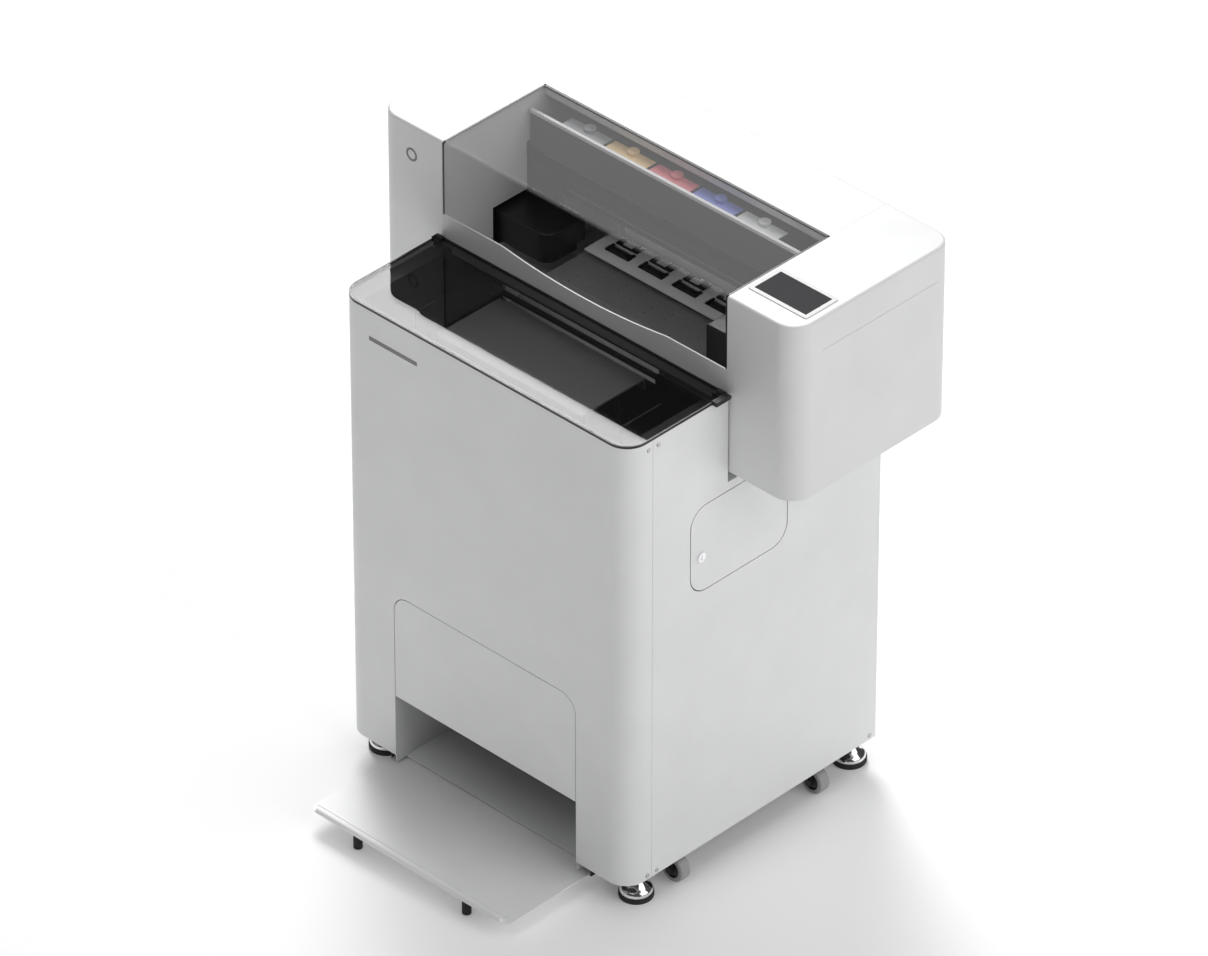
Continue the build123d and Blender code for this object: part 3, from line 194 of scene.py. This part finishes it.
white_coat = coated("white_powder_coat", (0.84, 0.845, 0.85), 0.42)
# The tray's white is lighter than the cabinet's same powder coat: painted light that lifts the tray out
# of the shade it sits in beside the cabinet.
tray_coat_painted_light = coated("tray_powder_coat_painted_light", (0.90, 0.902, 0.905), 0.45)
white_plastic = coated("white_cover_plastic", (0.80, 0.802, 0.805), 0.40, grain=1400.0, bump=0.04)
bezel_plastic = coated("bezel_plastic", (0.66, 0.665, 0.67), 0.35, grain=1400.0, bump=0.03)
frame_white = coated("white_bracket_coat", (0.74, 0.745, 0.75), 0.45)
black_coat = coated("black_powder_coat", (0.016, 0.016, 0.018), 0.42, variation=0.15)
black_plastic = coated("black_moulded_plastic", (0.014, 0.014, 0.015), 0.34, grain=1600.0, variation=0.15)
soft_black = coated("black_rubber", (0.018, 0.018, 0.018), 0.75, grain=500.0, bump=0.2, variation=0.2)
grey_tread = coated("grey_tread_rubber", (0.36, 0.36, 0.365), 0.6, grain=400.0, bump=0.15, variation=0.08)
belt_rubber = coated("belt_rubber", (0.03, 0.03, 0.032), 0.7, grain=700.0, bump=0.2, variation=0.2)
platen_coat = coated("platen_anodised", (0.24, 0.242, 0.246), 0.45, grain=1200.0, variation=0.08)
bed_coat = coated("bed_satin", (0.46, 0.46, 0.47), 0.5, grain=700.0, variation=0.05)
inner_white = coated("pinch_strip_coat", (0.93, 0.93, 0.932), 0.5)
bright_steel = brushed("bright_steel", (0.56, 0.56, 0.57), 0.32)
dark_steel = brushed("dark_roller_steel", (0.10, 0.10, 0.105), 0.45)
tank_grey = coated("tank_body", (0.06, 0.06, 0.063), 0.35, grain=500.0, bump=0.03, variation=0.1)
chrome = brushed("chrome", (0.80, 0.80, 0.82), 0.12, (8.0, 8.0, 1.0), 0.02)
pulley_metal = brushed("pulley_aluminium", (0.66, 0.66, 0.68), 0.3, (1.0, 40.0, 1.0))
screen_glass = coated("screen_glass", (0.042, 0.042, 0.045), 0.40, grain=200.0, bump=0.0, specular=0.03)
film_white = coated("film_roll_white", (0.70, 0.71, 0.72), 0.3, grain=300.0)
smoked_glass = see_through("smoked_glass", (0.006, 0.006, 0.007), 0.42, 1.52, roughness=0.008)
smoked_acrylic = see_through("smoked_acrylic", (0.40, 0.402, 0.405), 0.15, 1.25)

# The lid's grey and alpha: its front pane up to the crease, and its top pane above that. The top pane's
# light grey is painted sheen that stands in for the bright sky mirrored in the upward face of the same
# dark acrylic.
lid_crease_share = 0.95
front_pane = (0.03, 0.07)
top_pane_painted_sheen = (0.42, 0.17)
two_panes_painted_sheen(smoked_acrylic, lid_crease_share, front_pane, top_pane_painted_sheen)

finishes = {
    white_coat: (
        "front_shell", "left_side_panel", "right_side_panel", "rear_panel", "outlet_door",
        "service_door", "outlet_chute",
    ),
    tray_coat_painted_light: ("tray",),
    white_plastic: ("left_tower", "right_tower", "rear_cover", "front_lower_panel"),
    bezel_plastic: ("screen_bezel",),
    frame_white: ("printer_base", "rear_deck"),
    tank_grey: ("tank_tray",),
    dark_steel: ("guide_roller",),
    inner_white: ("pinch_frame",),
    black_coat: ("base_pan", "cabinet_frame", "shaker_tub", "cover_lugs", "carriage_beam"),
    black_plastic: (
        "carriage", "maintenance_station", "exhaust_fan", "power_inlet", "rocker_switch",
        "carriage_motor",
    ),
    soft_black: ("foot_pads", "tray_feet", "printer_feet", "pinch_rollers", "feed_roller"),
    belt_rubber: ("oven_belt", "carriage_belt"),
    platen_coat: ("platen",),
    bed_coat: ("film_bed",),
    bright_steel: (
        "oven_box", "belt_roller_front", "belt_roller_rear", "side_screws", "exhaust_duct",
    ),
    film_white: ("film_roll",),
    chrome: ("levelling_feet", "cam_lock"),
    pulley_metal: ("drive_pulley", "idler_pulley"),
    screen_glass: ("touch_screen",),
    smoked_glass: ("glass_cover",),
    smoked_acrylic: ("smoked_lid",),
}
for name in nodes:
    if name.startswith("caster_fork"):
        finishes[black_coat] = (*finishes[black_coat], name)
    if name.startswith("caster_wheel"):
        finishes[grey_tread] = (*finishes.get(grey_tread, ()), name)
for finish, names in finishes.items():
    for name in names:
        slots = nodes[name].material_slots
        if not slots:
            nodes[name].data.materials.append(finish)
        for slot in slots:
            slot.material = finish


# ---- Building pieces -----------------------------------------------------------------------


def add_box(bm, start, end, bevel=0.0, steps=2, slot=0):
    """Add a box with bevelled edges to a mesh under construction."""
    before = set(bm.faces)
    made = bmesh.ops.create_cube(bm, size=1.0)["verts"]
    size = Vector(end) - Vector(start)
    centre = (Vector(end) + Vector(start)) / 2
    for vertex in made:
        vertex.co = Vector((vertex.co.x * size.x, vertex.co.y * size.y, vertex.co.z * size.z)) + centre
    if bevel > 0:
        edges = list({edge for vertex in made for edge in vertex.link_edges})
        bmesh.ops.bevel(bm, geom=edges, offset=bevel, segments=steps, affect="EDGES", profile=0.5)
    for face in bm.faces:
        if face not in before:
            face.material_index = slot


AXES = {
    "x": (Vector((0, 1, 0)), Vector((0, 0, 1)), Vector((1, 0, 0))),
    "y": (Vector((0, 0, 1)), Vector((1, 0, 0)), Vector((0, 1, 0))),
    "z": (Vector((1, 0, 0)), Vector((0, 1, 0)), Vector((0, 0, 1))),
}


def add_lathe(bm, centre, axis, profile, steps=48, slot=0, start=0.0, sweep=360.0):
    """Turn a closed profile of (radius, offset along the axis) points round an axis."""
    first, second, along = AXES[axis]
    full = sweep >= 360.0
    count = steps if full else steps + 1
    rings = []
    for step in range(count):
        angle = math.radians(start + sweep * step / steps)
        out = first * math.cos(angle) + second * math.sin(angle)
        ring = [Vector(centre) + out * radius + along * offset for radius, offset in profile]
        rings.append([bm.verts.new(place) for place in ring])
    points = len(profile)
    for step in range(count if full else count - 1):
        here, after = rings[step], rings[(step + 1) % count]
        for point in range(points):
            following = (point + 1) % points
            quad = (here[point], here[following], after[following], after[point])
            face = bm.faces.new(quad)
            face.material_index = slot
    if not full:
        for ring in (rings[0], rings[-1]):
            bm.faces.new(ring).material_index = slot


def make_piece(name, build, finishes_used, body=BODY, stands_for=(), smooth=35.0):
    """Build a mesh piece, give it its finishes and let it ride on a body."""
    bm = bmesh.new()
    build(bm)
    bmesh.ops.remove_doubles(bm, verts=bm.verts, dist=0.000002)
    bmesh.ops.recalc_face_normals(bm, faces=bm.faces)
    mesh = bpy.data.meshes.new(name)
    bm.to_mesh(mesh)
    bm.free()
    piece = bpy.data.objects.new(name, mesh)
    bpy.context.collection.objects.link(piece)
    for used in finishes_used:
        mesh.materials.append(used)
    mesh.shade_smooth()
    mesh.set_sharp_from_angle(angle=math.radians(smooth))
    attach(piece, body)
    for node in stands_for:
        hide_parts(node)


def rounded_outline(start, end, front_radius, rear_radius, inset=0.0, steps=10):
    """Points of an upright slab's plan with rounded front and rear corners, counter-clockwise."""
    x0, y0, x1, y1 = start.x + inset, start.y + inset, end.x - inset, end.y - inset
    front = max(front_radius - inset, 0.0001)
    rear = max(rear_radius - inset, 0.0001)
    points = []
    for cx, cy, radius, begin in (
        (x1 - front, y0 + front, front, -90),
        (x1 - rear, y1 - rear, rear, 0),
        (x0 + rear, y1 - rear, rear, 90),
        (x0 + front, y0 + front, front, 180),
    ):
        for step in range(steps + 1):
            angle = math.radians(begin + 90 * step / steps)
            points.append((cx + radius * math.cos(angle), cy + radius * math.sin(angle)))
    return points


def add_band(bm, outer, inner, bottom, top, slot=0):
    """Add a flat band between two outlines with the same number of points."""
    rows = []
    for (ox, oy), (ix, iy) in zip(outer, inner):
        places = ((ox, oy, bottom), (ox, oy, top), (ix, iy, top), (ix, iy, bottom))
        rows.append([bm.verts.new(place) for place in places])
    for index, here in enumerate(rows):
        after = rows[(index + 1) % len(rows)]
        for side in range(4):
            following = (side + 1) % 4
            face = bm.faces.new((here[side], here[following], after[following], after[side]))
            face.material_index = slot


# ---- Edge trims of the two smoked covers -----------------------------------------------------
cover_low, cover_high = corners("glass_cover")
cover_radius = 0.040
cover_rear_radius = 0.0012
edge_proud = 0.0003
edge_width = 0.0022
edge_bottom_gap = 0.0002
edge_rise = 0.0001


def build_cover_edge(bm):
    """A black painted edge that runs round the rim of the glass."""
    outer = rounded_outline(cover_low, cover_high, cover_radius, cover_rear_radius, -edge_proud)
    inner = rounded_outline(cover_low, cover_high, cover_radius, cover_rear_radius, edge_width)
    add_band(bm, outer, inner, cover_low.z + edge_bottom_gap, cover_high.z + edge_rise)


make_piece("cover_edge_paint", build_cover_edge, [black_plastic], "well_cover")

lid_low, lid_high = corners("smoked_lid")
lid_crease = 0.007
lid_sheet = 0.003
bend_steps = 8
seal_proud = 0.0002
seal_depth = 0.0010
seal_width = 0.0025
rear_seal_width = 0.004
rear_seal_bevel = 0.0001


def add_lid_strip(bm, x0, x1):
    """A strip that follows the lid's bent section on its outer face."""
    path = [(lid_low.y, lid_low.z)]
    for step in range(bend_steps + 1):
        angle = math.radians(180 - 90 * step / bend_steps)
        path.append((
            lid_low.y + lid_crease + lid_crease * math.cos(angle),
            lid_high.z - lid_crease + lid_crease * math.sin(angle),
        ))
    path.append((lid_high.y, lid_high.z))
    rows = []
    for index, (y, z) in enumerate(path):
        before = Vector(path[max(index - 1, 0)])
        after = Vector(path[min(index + 1, len(path) - 1)])
        along = (after - before).normalized()
        normal = Vector((-along.y, along.x))
        out = normal * seal_proud
        back = normal * -seal_depth
        places = (
            (x0, y + out.x, z + out.y), (x1, y + out.x, z + out.y),
            (x1, y + back.x, z + back.y), (x0, y + back.x, z + back.y),
        )
        rows.append([bm.verts.new(place) for place in places])
    for here, after in zip(rows, rows[1:]):
        for side in range(4):
            following = (side + 1) % 4
            bm.faces.new((here[side], here[following], after[following], after[side]))
    bm.faces.new(rows[0])
    bm.faces.new(rows[-1])


def build_lid_edge(bm):
    """Black seals along the lid's two sides and its back edge."""
    add_lid_strip(bm, lid_low.x, lid_low.x + seal_width)
    add_lid_strip(bm, lid_high.x - seal_width, lid_high.x)
    rear_start = (lid_low.x, lid_high.y - rear_seal_width, lid_high.z - lid_sheet)
    rear_end = (lid_high.x, lid_high.y, lid_high.z + seal_proud)
    add_box(bm, rear_start, rear_end, rear_seal_bevel, 1)


make_piece("lid_edge_seal", build_lid_edge, [black_plastic], "lid")

# ---- Ink tanks --------------------------------------------------------------------------------
ink_low, ink_high = corners("ink_tanks")
tank_colors = (
    ("clear", (0.34, 0.35, 0.36)),
    ("yellow", (0.86, 0.62, 0.32)),
    ("magenta", (0.80, 0.22, 0.26)),
    ("cyan", (0.20, 0.24, 0.66)),
    ("white", (0.74, 0.75, 0.76)),
)
tank_width = 0.096
tank_pitch = (ink_high.x - ink_low.x - tank_width) / (len(tank_colors) - 1)
tank_bevel = 0.004
neck = 0.006
plate_inset = 0.008
plate_front = 0.036
plate_height = 0.0025
plate_bevel = 0.001
cap_setback = 0.020
cap_radius = 0.011
cap_top_radius = 0.0095
cap_shoulder = 0.0045
cap_axis_gap = 0.0002
label_inset = 0.002
label_depth = 0.026
label_sink = 0.0005
label_rise = 0.0008
label_bevel = 0.0003
rib_count = 3
rib_pitch = 0.018
rib_inset = 0.012
rib_proud = 0.0012
rib_height = 0.0015
rib_bevel = 0.0004
for index, (tint, color) in enumerate(tank_colors):
    left = ink_low.x + index * tank_pitch
    right = left + tank_width
    tint_finish = coated(f"tank_{tint}", color, 0.3, grain=500.0, bump=0.03, variation=0.06)

    def build_tank(bm, left=left, right=right):
        """A bevelled tank with a raised plate, a filler cap, a coloured label and ribs."""
        top = ink_high.z - neck
        add_box(bm, (left, ink_low.y, ink_low.z), (right, ink_high.y, top), tank_bevel, 3)
        plate_start = (left + plate_inset, ink_low.y + plate_front, top)
        plate_end = (right - plate_inset, ink_high.y - plate_inset, top + plate_height)
        add_box(bm, plate_start, plate_end, plate_bevel)
        cap = Vector(((left + right) / 2, ink_low.y + cap_setback, top))
        cap_profile = (
            (cap_axis_gap, 0), (cap_radius, 0), (cap_radius, cap_shoulder),
            (cap_top_radius, neck), (cap_axis_gap, neck),
        )
        add_lathe(bm, cap, "z", cap_profile, 32, slot=1)
        label_start = (left + label_inset, ink_low.y + label_inset, top - label_sink)
        label_end = (right - label_inset, ink_low.y + label_depth, top + label_rise)
        add_box(bm, label_start, label_end, label_bevel, 1, slot=1)
        for rib in range(rib_count):
            rib_z = ink_low.z + rib_pitch + rib * rib_pitch
            rib_start = (left + rib_inset, ink_low.y - rib_proud, rib_z)
            rib_end = (right - rib_inset, ink_low.y, rib_z + rib_height)
            add_box(bm, rib_start, rib_end, rib_bevel)

    make_piece(f"ink_tank_{tint}", build_tank, [tank_grey, tint_finish], stands_for=("ink_tanks",))

tray_wall_low, tray_wall_high = corners("tank_tray")
lip_proud = 0.0010
lip_drop = 0.0060
lip_depth = 0.0055
lip_rise = 0.0010
lip_bevel = 0.0006


def build_tank_lip(bm):
    """The white folded lip along the top of the tank tray's front wall."""
    lip_start = (tray_wall_low.x, tray_wall_low.y - lip_proud, tray_wall_high.z - lip_drop)
    lip_end = (tray_wall_high.x, tray_wall_low.y + lip_depth, tray_wall_high.z + lip_rise)
    add_box(bm, lip_start, lip_end, lip_bevel)


make_piece("tank_lip", build_tank_lip, [inner_white])

# ---- Caster wheels ----------------------------------------------------------------------------
tread_shoulder = 0.0035
tread_steps = 6
wheel_bore = 0.0041
dish_depth = 0.003
boss_inset = 0.001
rim_inset = 0.0006
for name in sorted(nodes):
    if not name.startswith("caster_wheel"):
        continue
    wheel_low, wheel_high = corners(name)
    hub = (wheel_low + wheel_high) / 2
    outer = (wheel_high.z - wheel_low.z) / 2
    half = (wheel_high.y - wheel_low.y) / 2

    def build_wheel(bm, hub=hub, outer=outer, half=half):
        """A crowned tread on a dished hub."""
        rim = outer * 0.66
        dish_outer = outer * 0.58
        dish_inner = outer * 0.36
        boss = outer * 0.30
        tread = [(rim, -half)]
        for begin, offset in ((-90, tread_shoulder - half), (0, half - tread_shoulder)):
            for step in range(tread_steps + 1):
                angle = math.radians(begin + 90 * step / tread_steps)
                radius = outer - tread_shoulder + tread_shoulder * math.cos(angle)
                tread.append((radius, offset + tread_shoulder * math.sin(angle)))
        tread.append((rim, half))
        add_lathe(bm, hub, "y", tread, 64)
        disc = half - dish_depth
        hub_profile = (
            (wheel_bore, -half + boss_inset), (boss, -half + boss_inset),
            (dish_inner, -disc), (dish_outer, -disc),
            (rim, -half + rim_inset), (rim, half - rim_inset),
            (dish_outer, disc), (dish_inner, disc),
            (boss, half - boss_inset), (wheel_bore, half - boss_inset),
        )
        add_lathe(bm, hub, "y", hub_profile, 64, slot=1)

    make_piece(f"{name}_detail", build_wheel, [grey_tread, black_plastic], name, (name,))

# ---- Pinch roller arms over the white strip ---------------------------------------------------
strip_top = corners("pinch_frame")[1].z
shaft_low, shaft_high = corners("pinch_rollers")
shaft = (shaft_low + shaft_high) / 2
arm_count = 5
arm_pitch = 0.076
arm_shift = 0.005
arm_middle = shaft.x + arm_shift
guard_inner = 0.0078
guard_outer = 0.0094
guard_half = 0.019
guard_start = 35.0
guard_sweep = 110.0
cheek_offset = 0.0235
cheek_half = 0.0025
cheek_reach = 0.0098
cheek_sink = 0.001
cheek_rise = 0.0030
finger_half = 0.024
finger_near = 0.013
finger_far = 0.034
finger_height = 0.0035
pad_half = 0.010
pad_near = 0.016
pad_far = 0.030
pad_bottom = 0.0030
pad_top = 0.0050
for index in range(arm_count):
    arm_x = arm_middle + (index - (arm_count - 1) / 2) * arm_pitch

    def build_arm(bm, arm_x=arm_x):
        """Two cheeks joined by a curved guard over the roller, with a padded rear finger."""
        guard = (
            (guard_inner, -guard_half), (guard_outer, -guard_half),
            (guard_outer, guard_half), (guard_inner, guard_half),
        )
        place = Vector((arm_x, shaft.y, shaft.z))
        add_lathe(bm, place, "x", guard, 14, start=guard_start, sweep=guard_sweep)
        for side in (-1, 1):
            cheek = arm_x + side * cheek_offset
            cheek_start = (cheek - cheek_half, shaft.y - cheek_reach, strip_top - cheek_sink)
            cheek_end = (cheek + cheek_half, shaft.y + cheek_reach, strip_top + cheek_rise)
            add_box(bm, cheek_start, cheek_end, 0.0012, 3)
        finger_start = (arm_x - finger_half, shaft.y + finger_near, strip_top)
        finger_end = (arm_x + finger_half, shaft.y + finger_far, strip_top + finger_height)
        add_box(bm, finger_start, finger_end, 0.0014, 3)
        pad_start = (arm_x - pad_half, shaft.y + pad_near, strip_top + pad_bottom)
        pad_end = (arm_x + pad_half, shaft.y + pad_far, strip_top + pad_top)
        add_box(bm, pad_start, pad_end, 0.0008, slot=1)

    make_piece(f"pinch_arm_{index + 1}", build_arm, [black_plastic, frame_white])

# ---- Plain marks on the cabinet and the tower -------------------------------------------------
mark_grey = coated("printed_grey", (0.22, 0.22, 0.225), 0.5, grain=800.0)
mark_proud = 0.0004
mark_sink = 0.0005
shell_low, shell_high = corners("front_shell")
bar_from_left = 0.124
bar_below_top = 0.054
bar_half_length = 0.055
bar_half_height = 0.004
bar_bevel = 0.0002


def build_front_mark(bm):
    """A plain bar on the upper left of the cabinet's front."""
    centre_x = shell_low.x + bar_from_left
    centre_z = shell_high.z - bar_below_top
    bar_start = (centre_x - bar_half_length, shell_low.y - mark_proud, centre_z - bar_half_height)
    bar_end = (centre_x + bar_half_length, shell_low.y + mark_sink, centre_z + bar_half_height)
    add_box(bm, bar_start, bar_end, bar_bevel, 1)


make_piece("front_mark", build_front_mark, [mark_grey])
tower_low, tower_high = corners("left_tower")
ring_from_left = 0.078
ring_below_top = 0.058
ring_inner = 0.0085
ring_outer = 0.0125


def build_tower_mark(bm):
    """A plain ring on the left tower's front."""
    centre = Vector((tower_low.x + ring_from_left, tower_low.y, tower_high.z - ring_below_top))
    ring = (
        (ring_inner, mark_sink), (ring_inner, -mark_proud),
        (ring_outer, -mark_proud), (ring_outer, mark_sink),
    )
    add_lathe(bm, centre, "y", ring, 48)


make_piece("tower_mark", build_tower_mark, [mark_grey])

# ---- Strips along the carriage beam -----------------------------------------------------------
beam_low, beam_high = corners("carriage_beam")
beam_face_setback = 0.004
strip_base_drop = 0.070
strip_end_gap = 0.004
strip_sink = 0.0005
strip_bevel = 0.0003
# Each strip's rise above the base line, how far it stands proud, and its height.
encoder_strip = (0.058, 0.0015, 0.003)
cable_channel = (0.012, 0.0020, 0.002)
stiffening_rib = (0.046, 0.0010, 0.002)


def build_beam_strips(bm):
    """The encoder strip, the cable channel and a stiffening rib along the beam."""
    beam_front = beam_low.y + beam_face_setback
    for rise, proud, height in (encoder_strip, cable_channel, stiffening_rib):
        z = beam_high.z - strip_base_drop + rise
        strip_start = (lid_low.x + strip_end_gap, beam_front - proud, z)
        strip_end = (lid_high.x - strip_end_gap, beam_front + strip_sink, z + height)
        add_box(bm, strip_start, strip_end, strip_bevel, 1)


make_piece("beam_strips", build_beam_strips, [bright_steel])

# ---- Stage, light and camera ------------------------------------------------------------------
middle = (Vector(cad_box[0]) + Vector(cad_box[1])) / 2
floor_reach = 40.0
floor_glow = 0.12
floor_corners = [
    (-floor_reach, -floor_reach, 0), (floor_reach, -floor_reach, 0),
    (floor_reach, floor_reach, 0), (-floor_reach, floor_reach, 0),
]
floor_mesh = bpy.data.meshes.new("studio_floor")
floor_mesh.from_pydata(floor_corners, [], [(0, 1, 2, 3)])
floor = bpy.data.objects.new("studio_floor", floor_mesh)
bpy.context.collection.objects.link(floor)
floor_finish, floor_shader = base_material("pale_floor", (0.95, 0.95, 0.95), 0.9, specular=0.0)
floor_shader.inputs["Emission Color"].default_value = (1.0, 1.0, 1.0, 1.0)
floor_shader.inputs["Emission Strength"].default_value = floor_glow
floor_mesh.materials.append(floor_finish)


def soft_light(name, direction, distance, size, watts):
    """A square area light facing the object from a direction."""
    data = bpy.data.lights.new(name, "AREA")
    data.shape = "SQUARE"
    data.size = size
    data.energy = watts
    light = bpy.data.objects.new(name, data)
    place = middle + Vector(direction).normalized() * distance
    light.location = place
    light.rotation_euler = (middle - place).to_track_quat("-Z", "Y").to_euler()
    bpy.context.collection.objects.link(light)


soft_light("overhead", (0.10, 0.12, 1.0), distance=6.0, size=7.0, watts=118.0)
soft_light("right_side", (1.0, 0.15, 0.55), distance=6.5, size=5.0, watts=150.0)

# Two cards stand where the tilted glass mirrors them to the camera. Their shared edge lies along
# the machine's width, so only the front band of the glass and its left end look bright.
card_out = Vector((-0.568, 0.584, 0.579)).normalized()
card_right = Vector((0.717, 0.697, 0.0)).normalized()
card_up = card_out.cross(-card_right)
card_tilt = math.radians(29.1)
edge_along = card_right * math.cos(card_tilt) + card_up * math.sin(card_tilt)
edge_up = card_up * math.cos(card_tilt) - card_right * math.sin(card_tilt)
card_distance = 8.0
card_radiance = 13.75
edge_right = -0.199
edge_rise_up = 0.285
edge_point = middle + card_out * card_distance + card_right * edge_right + card_up * edge_rise_up


def add_card(name, along, above):
    """A rectangular card light given by its spans along and above the shared edge."""
    width = along[1] - along[0]
    height = above[1] - above[0]
    data = bpy.data.lights.new(name, "AREA")
    data.shape = "RECTANGLE"
    data.size = width
    data.size_y = height
    data.energy = card_radiance * math.pi * width * height
    card = bpy.data.objects.new(name, data)
    place = edge_point + edge_along * (along[0] + width / 2) + edge_up * (above[0] + height / 2)
    turn = Matrix((edge_along, card_out.cross(edge_along), card_out)).transposed().to_4x4()
    card.matrix_world = Matrix.Translation(place) @ turn
    bpy.context.collection.objects.link(card)


add_card("band_card", (-2.0, 1.8), (0.0, 2.6))
add_card("left_card", (-2.03, -0.23), (-1.0, 0.0))
soft_light("front_left", (-0.6, -1.0, 0.35), distance=7.0, size=4.0, watts=8.0)
soft_light("front_high", (0.1, -0.75, 1.0), distance=7.0, size=3.0, watts=52.0)

world = bpy.data.worlds.new("studio_world")
bpy.context.scene.world = world
world.use_nodes = True
world.node_tree.nodes["Background"].inputs["Color"].default_value = (1.0, 1.0, 1.0, 1.0)
world.node_tree.nodes["Background"].inputs["Strength"].default_value = 0.07
bpy.context.scene.view_settings.view_transform = "Standard"

camera_azimuth = math.radians(44.2)
camera_elevation = math.radians(35.37)
camera_distance = 16.5
aim_right = 0.0259
aim_behind_front = 0.2555
aim_height = 0.6089
camera_data = bpy.data.cameras.new("camera")
camera_data.lens = 300.0
camera_data.sensor_width = 36.0
camera_data.clip_end = 100.0
camera = bpy.data.objects.new("camera", camera_data)
bpy.context.collection.objects.link(camera)
to_camera = Vector((
    math.sin(camera_azimuth) * math.cos(camera_elevation),
    -math.cos(camera_azimuth) * math.cos(camera_elevation),
    math.sin(camera_elevation),
))
target = Vector((aim_right, shell_low.y + aim_behind_front, aim_height))
camera.location = target + to_camera * camera_distance
camera.rotation_euler = to_camera.to_track_quat("Z", "Y").to_euler()
bpy.context.scene.camera = camera
